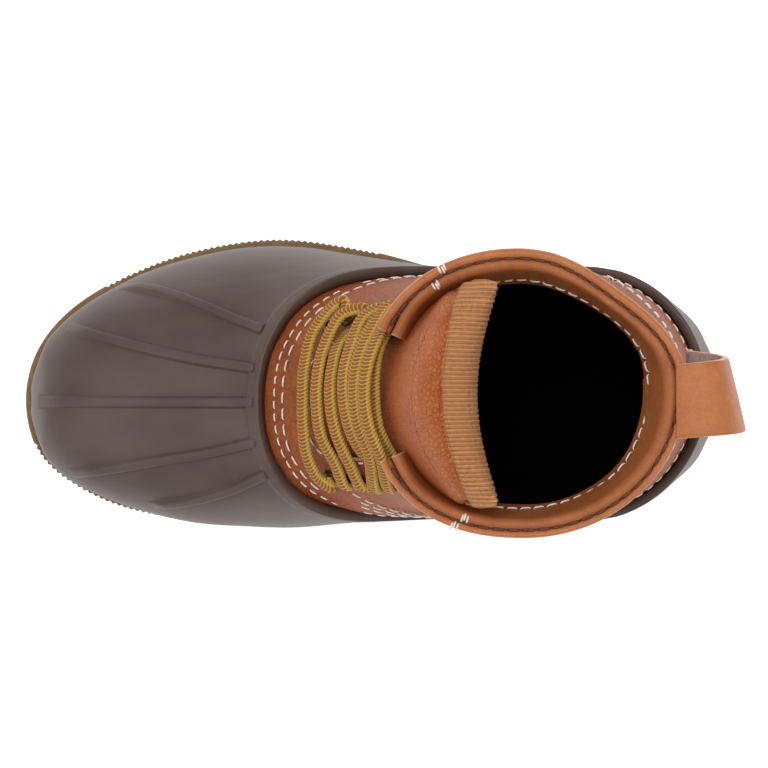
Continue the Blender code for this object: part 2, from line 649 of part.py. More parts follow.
def toe_rib(name, route, collection):
    """One rib: a low trapezoid carried along its route, sunk into the wall, fading at the toe."""
    route = np.array(route)
    steps = np.linspace(0, len(route) - 1, 11)
    xs = curve_value(np.arange(len(route)), route[:, 0], steps)
    ys = curve_value(np.arange(len(route)), route[:, 1], steps)
    places = np.array([on_toe(x, y) for x, y in zip(xs, ys)])
    skin = GAP + RUBBER
    centre = offset_point(places[:, 0], places[:, 1], np.full(len(places), skin))
    normal = last_normal(places[:, 0], places[:, 1])
    along = np.gradient(centre, axis=0)
    along /= np.linalg.norm(along, axis=1, keepdims=True)
    across = np.cross(normal, along)
    fade = np.clip(np.linspace(0, 4, len(places)), 0.25, 1.0)[:, None]
    half = RIB_WIDTH / 2
    rings = np.stack([
        centre - across * half - normal * 0.9,
        centre - across * half + normal * 0.05,
        centre - across * half * 0.45 + normal * RIB_HEIGHT * fade,
        centre + across * half * 0.45 + normal * RIB_HEIGHT * fade,
        centre + across * half + normal * 0.05,
        centre + across * half - normal * 0.9,
    ], axis=1)
    return lofted("rib_" + name, rings, collection)


def make_upper(collection):
    """Leather upper: vamp and quarters in one hollow wall, open at the collar, throat and underneath."""
    overlap = overlap_rows()
    rows = overlap + [row for row in COLLAR_ROWS if row > overlap[-1] + NEAR]
    columns = LEATHER_CELLS + TUCK_CELLS + 1
    outer = []
    inner = []
    faces = []
    for side in (1, -1):
        start = len(outer)
        for row in rows:
            throat, rim, tuck = loop_stations(row, side)
            step = CUFF_STEP if row > CUFF_ROW else 0.0
            stations = list(np.linspace(throat, rim, LEATHER_CELLS + 1))
            stations += list(np.linspace(rim, tuck, TUCK_CELLS + 1))[1:]
            for along in stations:
                outer.append(offset_point(np.array(row), np.array(side * along), step))
                inner.append(offset_point(np.array(row), np.array(side * along), -LEATHER))
        faces += grid_faces(len(rows), columns, start, flip=side < 0)
    upper = walled("upper", np.array(outer), np.array(inner), faces, collection)
    for name, place, normal in eyelet_places():
        apply_boolean(upper, peg(place, normal, EYELET_BARREL + GAP, collection), "DIFFERENCE")
    return finish_object(upper, "tan_leather")


def eyelet_places():
    """Name, centre on the leather's face and direction of each eyelet."""
    places = []
    for side, word in ((1, "medial"), (-1, "lateral")):
        for number, row in enumerate(EYELET_ROWS, start=1):
            edge = throat_crossing(row, side)
            along = np.linspace(edge, 0.9, 200)
            points = last_point(np.full(200, row), side * along)
            run = np.concatenate([[0], np.cumsum(np.linalg.norm(np.diff(points, axis=0), axis=1))])
            at = float(np.interp(EYELET_MARGIN, run, along))
            place = last_point(np.array(row), np.array(side * at))
            normal = last_normal(np.array(row), np.array(side * at))
            places.append((f"eyelet_{word}_{number}", place, normal))
    return places


def frame_on(place, normal):
    """A matrix that stands +Z along a normal at a place given in millimetres."""
    turn = Vector((0, 0, 1)).rotation_difference(Vector(normal)).to_matrix().to_4x4()
    return Matrix.Translation(Vector(to_world(place))) @ turn


def peg(place, normal, radius, collection):
    """A cylinder across the leather, for cutting a hole."""
    bm = bmesh.new()
    bmesh.ops.create_cone(bm, cap_ends=True, segments=10, radius1=radius * MM, radius2=radius * MM,
                          depth=8 * MM, matrix=frame_on(place, normal))
    mesh = bpy.data.meshes.new("peg_tool")
    bm.to_mesh(mesh)
    bm.free()
    return new_object("peg_tool", mesh, collection)


def make_eyelet(name, place, normal, collection):
    """Turned eyelet: a barrel through the leather with a flange on its face."""
    profile = (
        (EYELET_HOLE, EYELET_TOP), (EYELET_FLANGE - 0.6, EYELET_TOP), (EYELET_FLANGE, 0.7), (EYELET_FLANGE, GAP),
        (EYELET_BARREL, GAP), (EYELET_BARREL, -LEATHER), (EYELET_HOLE, -LEATHER),
    )
    mesh = bpy.data.meshes.new(name)
    points = [(r * MM, 0.0, z * MM) for r, z in profile]
    edges = [(k, (k + 1) % len(points)) for k in range(len(points))]
    mesh.from_pydata(points, edges, [])
    ob = new_object(name, mesh, collection)
    turn = ob.modifiers.new("turn", "SCREW")
    turn.axis = "Z"
    turn.steps = 10
    turn.render_steps = 10
    turn.use_merge_vertices = True
    turn.merge_threshold = 0.00001
    turn.use_normal_calculate = True
    bpy.context.view_layer.update()
    evaluated = ob.evaluated_get(bpy.context.evaluated_depsgraph_get())
    turned = bpy.data.meshes.new_from_object(evaluated)
    bm = bmesh.new()
    bm.from_mesh(turned)
    bmesh.ops.remove_doubles(bm, verts=bm.verts, dist=0.001 * MM)
    bmesh.ops.recalc_face_normals(bm, faces=bm.faces)
    bm.to_mesh(turned)
    bm.free()
    ob.modifiers.remove(turn)
    ob.data = turned
    ob.matrix_world = frame_on(place, normal)
    return finish_object(ob, "antique_brass")


def make_insole(collection):
    """Insole on the rubber floor, a little narrower than the last's sole."""
    rows = [row for row in list(TOE_ROWS) + overlap_rows() if 0.6 < row < 14.3][::2]
    across = FLOOR_CELLS + 1
    low = []
    high = []
    for row in rows:
        edge = last_point(np.array([row, row]), np.array([1.0, -1.0]))
        for share in np.linspace(0.02, 0.98, across):
            point = edge[0] * (1 - share) + edge[1] * share
            low.append(point)
            high.append(point + np.array([0, 0, INSOLE]))
    faces = grid_faces(len(rows), across)
    insole = walled("insole", np.array(low), np.array(high), faces, collection)
    return finish_object(insole, "black_lining")


def make_tongue(collection):
    """Padded tongue: a lens-shaped section carried up the throat, thickest above the collar."""
    rows = TONGUE_TABLE
    number = np.arange(len(TONGUE))
    at = np.linspace(0, len(TONGUE) - 1, 17)
    size = {name: curve_value(number, rows[name], at) for name in TONGUE_COLUMNS}
    line = np.stack([size["x"], size["z"]], axis=1)
    along = np.gradient(line, axis=0)
    along /= np.linalg.norm(along, axis=1, keepdims=True)
    forward = np.stack([along[:, 1], -along[:, 0]], axis=1)
    angle = np.linspace(0, 2 * math.pi, 20, endpoint=False)
    out = np.cos(angle)
    thick = np.sign(np.sin(angle)) * np.abs(np.sin(angle)) ** 0.8
    rings = []
    for k in range(len(at)):
        push = size["thick"][k] * thick - size["bend"][k] * out ** 2
        x = line[k, 0] + forward[k, 0] * push
        z = line[k, 1] + forward[k, 1] * push
        y = size["y"][k] + size["half"][k] * out
        rings.append(np.stack([x, y, z], axis=1))
    return finish_object(lofted("tongue", rings, collection), "tongue_leather", 60)


def make_pull_loop(collection):
    """Pull loop: a strap bent out from the collar and back to the heel, skewed a little."""
    path = np.array(LOOP_PATH)
    at = np.linspace(0, len(path) - 1, 13)
    x = curve_value(np.arange(len(path)), path[:, 0], at)
    z = curve_value(np.arange(len(path)), path[:, 1], at)
    line = np.stack([x, z], axis=1)
    along = np.gradient(line, axis=0)
    along /= np.linalg.norm(along, axis=1, keepdims=True)
    normal = np.stack([along[:, 1], -along[:, 0]], axis=1) * LOOP_THICK / 2
    middle = np.linspace(LOOP_Y[0], LOOP_Y[1], len(at))
    rings = []
    for k in range(len(at)):
        bulge = math.sin(math.pi * k / (len(at) - 1))
        ring = []
        for side, face in ((-1, -1), (1, -1), (1, 1), (-1, 1)):
            y = middle[k] + side * LOOP_WIDTH / 2
            ring.append((line[k, 0] + face * normal[k, 0] - side * bulge * LOOP_SKEW * LOOP_WIDTH / 2,
                         y, line[k, 1] + face * normal[k, 1]))
        rings.append(ring)
    return finish_object(lofted("pull_loop", rings, collection), "tan_leather")


def make_lace(number, ends_and_points, eyelets, collection):
    """One pass of the lace: a tube through a smooth curve, ending just over its eyelets."""
    first, between, last = ends_and_points
    over = EYELET_TOP + LACE_RADIUS + LACE_LIFT
    route = [list(point) for point in between]
    if first:
        place, normal = eyelets["eyelet_" + first]
        route.insert(0, list(place + normal * over))
    if last:
        place, normal = eyelets["eyelet_" + last]
        route.append(list(place + normal * over))
    route = np.array(route)
    keys = np.arange(len(route))
    at = np.linspace(0, len(route) - 1, 13)
    points = to_world(np.stack([curve_value(keys, route[:, k], at) for k in range(3)], axis=1))
    curve = bpy.data.curves.new(f"lace_pass_{number}", "CURVE")
    curve.dimensions = "3D"
    curve.bevel_depth = LACE_RADIUS * MM
    curve.bevel_resolution = 2
    curve.use_fill_caps = True
    spline = curve.splines.new("POLY")
    spline.points.add(len(points) - 1)
    for point, place in zip(spline.points, points):
        point.co = (*place, 1.0)
    ob = bpy.data.objects.new(f"lace_pass_{number}", curve)
    collection.objects.link(ob)
    curve.materials.append(material("gold_brown_lace"))
    return ob


def build():
    """Make every piece of the boot."""
    clear_scene()
    boot = bpy.data.collections.new("duck_boot")
    bpy.context.scene.collection.children.link(boot)
    make_outsole(boot)
    make_rubber_bottom(boot)
    make_upper(boot)
    make_insole(boot)
    make_tongue(boot)
    make_pull_loop(boot)
    eyelets = {name: (place, normal) for name, place, normal in eyelet_places()}
    for name, (place, normal) in eyelets.items():
        make_eyelet(name, place, normal, boot)
    for number, ends_and_points in LACE_PASSES.items():
        make_lace(number, ends_and_points, eyelets, boot)
    total = 0
    for ob in boot.objects:
        if ob.type == "MESH":
            triangles = sum(len(face.vertices) - 2 for face in ob.data.polygons)
            total += triangles
            print(ob.name, triangles, "triangles")
    print("in all", total, "triangles in meshes")


build()
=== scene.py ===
# %% [markdown]
# # A child's right duck boot, seen from above
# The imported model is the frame. Every piece here is a surface worked out with numpy from named sizes
# and short tables, and each one stands for the solid of the same part.
# Sizes are in millimetres from the back of the heel, as in the part's own source: x runs to the toe,
# y to the inner (medial) side and z up.

# %% Frame and imports
import math

import bpy
import numpy as np
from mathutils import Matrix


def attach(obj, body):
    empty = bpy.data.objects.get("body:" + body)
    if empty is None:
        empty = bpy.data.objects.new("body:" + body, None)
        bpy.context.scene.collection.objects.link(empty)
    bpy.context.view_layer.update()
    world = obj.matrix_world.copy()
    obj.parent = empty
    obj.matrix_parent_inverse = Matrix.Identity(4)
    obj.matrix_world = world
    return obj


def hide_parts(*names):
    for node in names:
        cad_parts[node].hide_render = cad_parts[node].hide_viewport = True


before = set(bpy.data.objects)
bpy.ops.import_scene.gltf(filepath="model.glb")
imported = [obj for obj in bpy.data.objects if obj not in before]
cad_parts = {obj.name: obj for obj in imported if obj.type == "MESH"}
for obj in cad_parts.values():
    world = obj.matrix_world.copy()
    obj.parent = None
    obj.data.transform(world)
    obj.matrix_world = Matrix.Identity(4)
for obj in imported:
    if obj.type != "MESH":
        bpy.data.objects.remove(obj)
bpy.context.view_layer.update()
MM = 0.001
# Where the back of the heel and the boot's axis lie in the frame
HEEL_X = -94.5
AXIS_Y = 0.6
# The rubber's gap to the leather, its thickness, its outer face from the last, and the band's height on it
GAP = 0.35
RUBBER = 2.2
SKIN = GAP + RUBBER
BAND = 0.85
# Rows of the last that carry the collar, the heel's back and the foot of the lace opening
COLLAR_ROW = 21.0
HEEL_ROW = 15
THROAT_ROW = 9.2

# %% [markdown]
# ## The camera
# The photograph looks straight down from a metre up, with the toe to the left.

# %% Camera
CAMERA_HEIGHT = 1.0
PIXEL_MM = 0.2795
PICTURE_WIDTH = 768
SENSOR = 36.0
camera_data = bpy.data.cameras.new("camera")
camera_data.sensor_width = SENSOR
camera_data.lens = SENSOR / (PICTURE_WIDTH * PIXEL_MM * MM)
camera = bpy.data.objects.new("camera", camera_data)
camera.location = (-0.0038, 0.0006, CAMERA_HEIGHT)
camera.rotation_euler = (0.0, 0.0, math.pi)
bpy.context.collection.objects.link(camera)
bpy.context.scene.camera = camera

# %% [markdown]
# ## The last
# The last is one function of a row and of a place round that row's loop. Row 0 is the toe tip, row 21
# the collar, and the rows between lean back more and more. Each row has named sizes in the table.

# %% The last's table and its surface
# Places of a row's low and top points, half its width there and at the foot, its middle lines in y, the
# share of its height where it is widest, and the powers of its upper and lower ovals
LAST_COLUMNS = ("x_low", "z_low", "x_top", "z_top", "half", "foot", "y_mid", "y_top", "wide", "full", "round")
LAST = np.array([
    (185.8, 17.5, 185.8, 17.5, 0.0, 0.0, 4.6, 4.6, 0.45, 2.1, 2.0),
    (184.3, 13.7, 183.3, 24.2, 10.2, 7.2, 4.5, 4.7, 0.40, 2.1, 2.0),
    (181.2, 12.2, 179.0, 29.2, 15.6, 12.2, 4.1, 4.8, 0.34, 2.1, 2.0),
    (175.0, 11.0, 172.5, 33.6, 21.2, 18.0, 3.4, 4.8, 0.29, 2.15, 2.0),
    (166.0, 9.8, 163.5, 37.4, 26.2, 22.9, 2.3, 4.8, 0.26, 2.15, 2.0),
    (155.0, 8.9, 152.5, 41.0, 30.6, 27.2, 1.2, 4.8, 0.24, 2.2, 2.0),
    (142.0, 8.4, 140.5, 44.6, 33.8, 30.4, 0.4, 4.8, 0.23, 2.2, 2.0),
    (128.0, 8.3, 129.0, 48.4, 35.4, 32.0, -0.6, 4.8, 0.21, 2.2, 2.0),
    (112.0, 8.5, 120.5, 53.4, 35.5, 31.8, -0.5, 4.9, 0.19, 2.35, 2.0),
    (95.0, 9.4, 112.0, 60.6, 33.6, 29.8, 0.1, 5.0, 0.19, 2.6, 2.0),
    (75.0, 11.2, 105.0, 70.0, 31.6, 27.0, 0.5, 4.6, 0.26, 2.75, 1.8),
    (54.0, 13.6, 99.5, 80.0, 31.0, 24.4, 1.2, 4.0, 0.40, 2.6, 1.55),
    (32.0, 15.6, 95.8, 88.5, 31.6, 22.8, 1.9, 3.6, 0.51, 2.45, 1.45),
    (14.5, 16.4, 94.4, 93.0, 32.6, 20.0, 2.2, 3.3, 0.54, 2.35, 1.5),
    (5.2, 18.0, 93.9, 95.4, 33.2, 12.2, 2.3, 3.2, 0.55, 2.3, 1.75),
    (2.6, 25.0, 93.8, 96.8, 33.6, 0.0, 2.3, 3.1, 0.55, 2.3, 2.0),
    (3.4, 36.0, 93.9, 97.9, 33.9, 0.0, 2.3, 3.0, 0.54, 2.3, 2.0),
    (6.6, 50.0, 94.0, 98.8, 34.2, 0.0, 2.3, 3.0, 0.53, 2.3, 2.0),
    (10.2, 65.0, 94.0, 99.5, 34.6, 0.0, 2.3, 3.0, 0.52, 2.3, 2.0),
    (13.3, 82.0, 94.0, 100.1, 35.0, 0.0, 2.2, 3.0, 0.51, 2.3, 2.0),
    (15.4, 98.0, 94.0, 100.6, 35.2, 0.0, 2.1, 3.0, 0.50, 2.3, 2.0),
    (16.4, 110.0, 94.0, 101.0, 35.3, 0.0, 2.0, 3.0, 0.50, 2.3, 2.0),
])
# The rubber's top edge seen from the side: x and height
RIM = np.array([
    (0.0, 57.6), (9.0, 57.0), (20.0, 53.0), (36.0, 46.0), (55.0, 41.6), (75.0, 40.4), (86.0, 42.0),
    (97.0, 45.6), (108.0, 49.4), (118.0, 51.8), (123.0, 52.4), (127.0, 60.0), (160.0, 150.0),
])
# Half of the lace opening, by row of the last
THROAT = np.array([(9.2, 0.0), (9.3, 6.0), (9.5, 10.5), (9.8, 13.6), (10.4, 15.2), (12.0, 15.9),
                   (21.0, 16.3)])


def curve_value(keys, values, at):
    """A smooth curve through (keys, values): cubic pieces whose slope at a key is its neighbours' mean."""
    keys, values = np.asarray(keys, float), np.asarray(values, float)
    at = np.clip(np.asarray(at, float), keys[0], keys[-1])
    steps = np.diff(keys)
    rises = np.diff(values) / steps
    slopes = np.empty_like(values)
    slopes[1:-1] = (rises[:-1] * steps[1:] + rises[1:] * steps[:-1]) / (steps[:-1] + steps[1:])
    slopes[0], slopes[-1] = rises[0], rises[-1]
    k = np.clip(np.searchsorted(keys, at, side="right") - 1, 0, len(steps) - 1)
    h = steps[k]
    t = (at - keys[k]) / h
    return (values[k] * (1 + 2 * t) * (1 - t) ** 2 + slopes[k] * h * t * (1 - t) ** 2
            + values[k + 1] * t * t * (3 - 2 * t) - slopes[k + 1] * h * t * t * (1 - t))


def run_along(points):
    """Distance run along a list of points, from 0 at the first."""
    return np.concatenate([[0.0], np.cumsum(np.linalg.norm(np.diff(points, axis=0), axis=1))])


def read_at(at, run, grid):
    """Each column of a grid of points, read at places along its run."""
    return np.stack([np.interp(at, run, grid[:, k]) for k in range(grid.shape[1])], axis=1)


def smooth_path(points, count):
    """A smooth curve through 2-D or 3-D points, read at even distances."""
    points = np.asarray(points, float)
    keys = run_along(points)
    fine = np.linspace(0, keys[-1], 600)
    dense = np.stack([curve_value(keys, points[:, k], fine) for k in range(points.shape[1])], axis=1)
    run = run_along(dense)
    return read_at(np.linspace(0, run[-1], count), run, dense)


def smooth_step(low, high, value):
    """0 below low, 1 above high, and an S curve between."""
    t = np.clip((np.asarray(value, float) - low) / (high - low), 0, 1)
    return t * t * (3 - 2 * t)


def last_size(name, row):
    """One named size of the last at any row."""
    return curve_value(np.arange(len(LAST)), LAST[:, LAST_COLUMNS.index(name)], row)


# The collar's lateral side leans inward behind the ankle: how far, in millimetres, at each x
LEAN = np.array([(10, 0.0), (14, 0.5), (18, 1.8), (23, 3.6), (28, 4.5), (33, 4.4), (38, 3.4), (43, 2.1),
                 (49, 0.9), (56, 0.2), (62, 0.0)])
LEAN_FROM, LEAN_FULL = 74.0, 104.0


def collar_lean(x, y):
    """The lean at x, growing over the first 10 mm on the lateral side of the middle."""
    return np.interp(x, LEAN[:, 0], LEAN[:, 1]) * smooth_step(1.0, 10.0, -y)


def last_point(row, loop):
    """The last's surface. loop is 0 at the top, 1 at the sole's edge on the medial side, -1 on the lateral.

    The upper part of a loop is an oval of power full, up to where it is widest. The lower part is
    a quarter of an oval of power round that ends at the sole's edge or at the back of the heel.
    """
    row, loop = np.broadcast_arrays(np.asarray(row, float), np.asarray(loop, float))
    side = np.where(loop < 0, -1.0, 1.0)
    along = np.abs(loop)
    x_low, z_low, x_top, z_top, half, foot, y_mid, y_top, wide, full, lower = (
        last_size(name, row) for name in LAST_COLUMNS)
    length = np.hypot(x_top - x_low, z_top - z_low)
    half = np.maximum(half, 0.0)
    foot = np.where(row >= HEEL_ROW, 0.0, np.maximum(foot, 0.0))
    upper_share = half + (1 - wide) * length
    lower_share = np.abs(half - foot) + wide * length
    share = np.clip(upper_share / (upper_share + lower_share + 1e-9), 0.5, 0.84)
    a = np.clip(along / share, 0, 1) * math.pi / 2
    oval = (np.cos(a) ** full + np.sin(a) ** full) ** (-1 / full)
    b = np.clip((along - share) / (1 - share), 0, 1) * math.pi / 2
    turn = (np.cos(b) ** lower + np.sin(b) ** lower) ** (-1 / lower)
    is_upper = along <= share
    up = np.where(is_upper, wide + (1 - wide) * oval * np.cos(a), wide * (1 - turn * np.sin(b)))
    out = np.where(is_upper, half * oval * np.sin(a), foot + (half - foot) * turn * np.cos(b))
    x, z = x_low + (x_top - x_low) * up, z_low + (z_top - z_low) * up
    y = y_mid + (y_top - y_mid) * up + side * out
    lean = collar_lean(x, y) * smooth_step(LEAN_FROM, LEAN_FULL, z)
    return np.stack([x, y + lean, z], axis=-1)


ROW_STEP = 0.02
LOOP_STEP = 0.004
# The toe's tip is one point, so its normals are read a little behind it
TIP_ROW = 0.2


def last_normal(row, loop):
    """The last's unit normals, pointing out: the cross product of small steps along loop and row."""
    row, loop = np.broadcast_arrays(np.maximum(np.asarray(row, float), TIP_ROW), np.asarray(loop, float))
    side = np.where(loop < 0, -1.0, 1.0)
    along_rows = last_point(np.minimum(row + ROW_STEP, COLLAR_ROW), loop) - last_point(row - ROW_STEP, loop)
    inside = side * np.maximum(np.abs(loop) - LOOP_STEP, 0.0)
    outside = side * np.minimum(np.abs(loop) + LOOP_STEP, 1.0)
    along_loop = (last_point(row, outside) - last_point(row, inside)) * side[..., None]
    normal = np.cross(along_loop, along_rows)
    at_back = (np.abs(loop) > 0.999) & (row >= HEEL_ROW - 0.01)
    normal[..., 1] = np.where(at_back | (np.abs(loop) < 0.001), 0.0, normal[..., 1])
    return normal / np.maximum(np.linalg.norm(normal, axis=-1, keepdims=True), 1e-9)


def on_last(row, loop, out):
    """A point that lies out millimetres outside the last."""
    return last_point(row, loop) + last_normal(row, loop) * np.asarray(out, float)[..., None]


# %% [markdown]
# ## Lines on the last
# The rim of the rubber, the edge of the lace opening and the collar are lines on the last, kept as
# pairs of row and loop. Patches are then drawn between two such lines.

# %% Rim, throat and collar lines
def even_line(rows, loops, count):
    """The same line on the last, read at even distances."""
    run = run_along(last_point(rows, loops))
    even = np.linspace(0, run[-1], count)
    return np.interp(even, run, rows), np.interp(even, run, loops)


def rim_line(shift, count):
    """The rubber's edge moved forward and down by shift, from the middle of the vamp to the heel's back."""
    rows = np.linspace(5.0, 19.5, 1451)
    loops = np.linspace(0, 1, 501)
    points = last_point(rows[:, None], loops[None, :])
    above = points[..., 2] - np.interp(points[..., 0] - shift, RIM[:, 0], RIM[:, 1]) + shift
    crosses = (above[:, 0] > 0) & (above[:, -1] <= 0)
    k = np.argmax(above <= 0, axis=1)[crosses]
    hit = np.arange(len(rows))[crosses]
    before, after = above[hit, k - 1], above[hit, k]
    at = loops[k - 1] + (loops[1] - loops[0]) * before / (before - after)
    line_rows = np.concatenate([[rows[hit[0]] - 0.01], rows[hit], [rows[hit[-1]] + 0.01]])
    return even_line(line_rows, np.concatenate([[0.0], at, [1.0]]), count)


def throat_loop(row):
    """Loop position of the lace opening's edge at a row of the last."""
    row = np.atleast_1d(np.asarray(row, float))
    half = curve_value(THROAT[:, 0], THROAT[:, 1], row)
    loops = np.linspace(0, 0.7, 401)
    out = np.abs(last_point(row[:, None], loops[None, :])[..., 1] - last_size("y_top", row)[:, None])
    return np.array([np.interp(half[k], out[k], loops) for k in range(len(row))])


EDGE_COUNT = 400
LEG_COUNT = 300
# Share of the upper edge that is lace opening, and of the sole's edge that goes round the toe's tip
CORNER = 0.3
RIM_ROWS, RIM_LOOPS = rim_line(0.0, EDGE_COUNT)
throat_rows = THROAT_ROW + (COLLAR_ROW - THROAT_ROW) * np.linspace(0, 1, LEG_COUNT) ** 2
THROAT_ROWS, THROAT_LOOPS = even_line(throat_rows, throat_loop(throat_rows), LEG_COUNT)
collar_line = np.full(LEG_COUNT, COLLAR_ROW), np.linspace(THROAT_LOOPS[-1], 1, LEG_COUNT)
COLLAR_LOOPS = even_line(*collar_line, LEG_COUNT)[1]


def top_line(u):
    """The leather's upper edge: up the lace opening until u is CORNER, then round the collar to the back."""
    leg = np.linspace(0, 1, LEG_COUNT)
    in_throat = u <= CORNER
    row = np.where(in_throat, np.interp(u / CORNER, leg, THROAT_ROWS), COLLAR_ROW)
    collar_loop = np.interp((u - CORNER) / (1 - CORNER), leg, COLLAR_LOOPS)
    return row, np.where(in_throat, np.interp(u / CORNER, leg, THROAT_LOOPS), collar_loop)


def low_line(u):
    """The rubber's rim from the middle of the vamp (0) to the back of the heel (1)."""
    at = np.linspace(0, 1, EDGE_COUNT)
    return np.interp(u, at, RIM_ROWS), np.interp(u, at, RIM_LOOPS)


def sole_line(u):
    """Where the rubber meets the sole: round the toe tip until u is CORNER, then along the sole's edge."""
    row = np.interp(u, [0, CORNER, 1.0], [0.15, 0.15, HEEL_ROW])
    return row, np.interp(u, [0, CORNER, 1.0], [0, 1, 1])


def between(first, second, u, share):
    """Row and loop on straight lines between two lines of the last."""
    a, b = first(u), second(u)
    return a[0] + (b[0] - a[0]) * share, a[1] + (b[1] - a[1]) * share


def share_at(first, second, u, distances, from_second=False):
    """How far between two lines a point lies, for a list of real distances from the first or the second."""
    fine = np.linspace(0, 1, 241)
    row, loop = between(first, second, u[:, None], fine[None, :])
    steps = np.linalg.norm(np.diff(last_point(row, loop), axis=1), axis=2)
    run = np.concatenate([np.zeros((len(u), 1)), np.cumsum(steps, axis=1)], axis=1)
    distances = np.broadcast_to(np.asarray(distances, float), (len(u), np.shape(distances)[-1]))
    wanted = run[:, -1:] - distances if from_second else distances
    share = np.stack([np.interp(wanted[k], run[k], fine) for k in range(len(u))])
    return share, run[:, -1]


# %% [markdown]
# ## Meshes
# A grid of points becomes a mesh with one UV map in millimetres, so that a pattern keeps its real size.

# %% Mesh builders
def make_piece(name, points, faces, uv=None, body="root", values=None):
    """A mesh object from points in millimetres, with UVs by point and named numbers by point."""
    world = (np.asarray(points, float).reshape(-1, 3) + (HEEL_X, AXIS_Y, 0.0)) * MM
    faces = np.asarray(faces, np.int32)
    sides = faces.shape[1]
    mesh = bpy.data.meshes.new(name)
    mesh.vertices.add(len(world))
    mesh.vertices.foreach_set("co", world.ravel())
    mesh.loops.add(faces.size)
    mesh.loops.foreach_set("vertex_index", faces.ravel())
    mesh.polygons.add(len(faces))
    mesh.polygons.foreach_set("loop_start", np.arange(0, faces.size, sides, dtype=np.int32))
    mesh.polygons.foreach_set("use_smooth", np.full(len(faces), True))
    mesh.update(calc_edges=True)
    if uv is not None:
        layer = mesh.uv_layers.new(name="millimetres")
        layer.data.foreach_set("uv", np.asarray(uv, float).reshape(-1, 2)[faces.ravel()].ravel())
    for key, value in (values or {}).items():
        attribute = mesh.attributes.new(key, "FLOAT", "POINT")
        attribute.data.foreach_set("value", np.asarray(value, float).ravel())
    mesh.validate()
    ob = bpy.data.objects.new(name, mesh)
    bpy.context.collection.objects.link(ob)
    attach(ob, body)
    return ob


def grid_faces(rows, columns, wrap=False):
    """Quads between neighbouring points of a grid; wrap joins the last column to the first."""
    i = np.arange(rows - 1)[:, None]
    j = np.arange(columns if wrap else columns - 1)[None, :]
    k = (j + 1) % columns
    above, below = i * columns, (i + 1) * columns
    return np.stack([above + j, above + k, below + k, below + j], axis=-1).reshape(-1, 4)


def grid_uv(points):
    """UVs in millimetres: mean run along each direction of the grid."""
    down = np.concatenate([[0], np.cumsum(np.linalg.norm(np.diff(points, axis=0), axis=2).mean(axis=1))])
    across = np.concatenate([[0], np.cumsum(np.linalg.norm(np.diff(points, axis=1), axis=2).mean(axis=0))])
    u, v = np.meshgrid(down, across, indexing="ij")
    return np.stack([u, v], axis=-1)


def frames_along(path, normals):
    """Unit vectors sideways and outward along a path, both square to it."""
    tangent = np.gradient(path, axis=0)
    tangent /= np.maximum(np.linalg.norm(tangent, axis=1, keepdims=True), 1e-9)
    across = np.cross(normals, tangent)
    across /= np.maximum(np.linalg.norm(across, axis=1, keepdims=True), 1e-9)
    return across, np.cross(tangent, across)


def sweep(path, normals, profile):
    """A section carried along a path. profile holds the section's (sideways, out) pairs for each point."""
    across, up = frames_along(path, normals)
    return path[:, None, :] + across[:, None, :] * profile[..., :1] + up[:, None, :] * profile[..., 1:]


def capped_tube(rings):
    """A closed tube from rings, its ends closed by a point in the middle of each."""
    count, around = rings.shape[:2]
    ends = np.stack([rings[0].mean(axis=0), rings[-1].mean(axis=0)])
    points = np.concatenate([rings.reshape(-1, 3), ends])
    j = np.arange(around)
    k = (j + 1) % around
    first, last = count * around, count * around + 1
    cap_a = np.stack([np.full(around, first), k, j], axis=1)
    cap_b = np.stack([np.full(around, last), (count - 1) * around + j, (count - 1) * around + k], axis=1)
    uv = np.concatenate([grid_uv(rings).reshape(-1, 2), np.zeros((2, 2))])
    return points, grid_faces(count, around, wrap=True), np.concatenate([cap_a, cap_b]), uv


def zipped_tube(rings):
    """A closed tube from flat rings: each end is closed by joining its front points to those behind them."""
    count, around = rings.shape[:2]
    j = np.arange(around // 2)
    k, back_j, back_k = j + 1, (around - j) % around, (around - j - 1) % around
    start = np.concatenate([np.stack([k, j, back_j], axis=1), np.stack([k, back_j, back_k], axis=1)])
    sound = (start[:, 0] != start[:, 1]) & (start[:, 1] != start[:, 2]) & (start[:, 0] != start[:, 2])
    start = start[sound]
    end = start[:, ::-1] + (count - 1) * around
    return rings.reshape(-1, 3), grid_faces(count, around, wrap=True), np.concatenate([start, end])


def join_quads_and_triangles(name, points, quads, triangles, uv=None, values=None):
    """A mesh of both kinds of face: the quads are split so that every face is a triangle."""
    both = np.concatenate([quads[:, [0, 1, 2]], quads[:, [0, 2, 3]], triangles])
    return make_piece(name, points, both, uv, values=values)


def second_material(ob, by_point, level):
    """Give a piece's second material to the triangles where the mean of by_point is past level."""
    corners = np.empty(len(ob.data.polygons) * 3, np.int32)
    ob.data.polygons.foreach_get("vertices", corners)
    chosen = by_point[corners.reshape(-1, 3)].mean(axis=1) > level
    ob.data.polygons.foreach_set("material_index", chosen.astype(np.int32))


def patch_piece(name, row, loop, out, extra=None, values=None):
    """A surface all round the last: grids of row, loop and distance out, with extra rows after them."""
    points = on_last(row, loop, out)
    if extra is not None:
        points = np.concatenate([points, extra(points)], axis=0)
    faces = grid_faces(*points.shape[:2], wrap=True)
    corner = points.reshape(-1, 3)[faces]
    normal = np.cross(corner[:, 2] - corner[:, 0], corner[:, 3] - corner[:, 1])
    outward = last_normal(row, loop)[:-1].reshape(-1, 3)
    if (normal[:len(outward)] * outward).sum() < 0:
        faces = faces[:, ::-1]
    return make_piece(name, points, faces, grid_uv(points), values=values)


def both_sides(count):
    """Places along a patch from -1 (lateral, at the heel's back) over 0 (the vamp's middle) to 1 (medial)."""
    half = np.linspace(0, 1, count)
    return np.concatenate([-half[::-1], half[1:-1]])


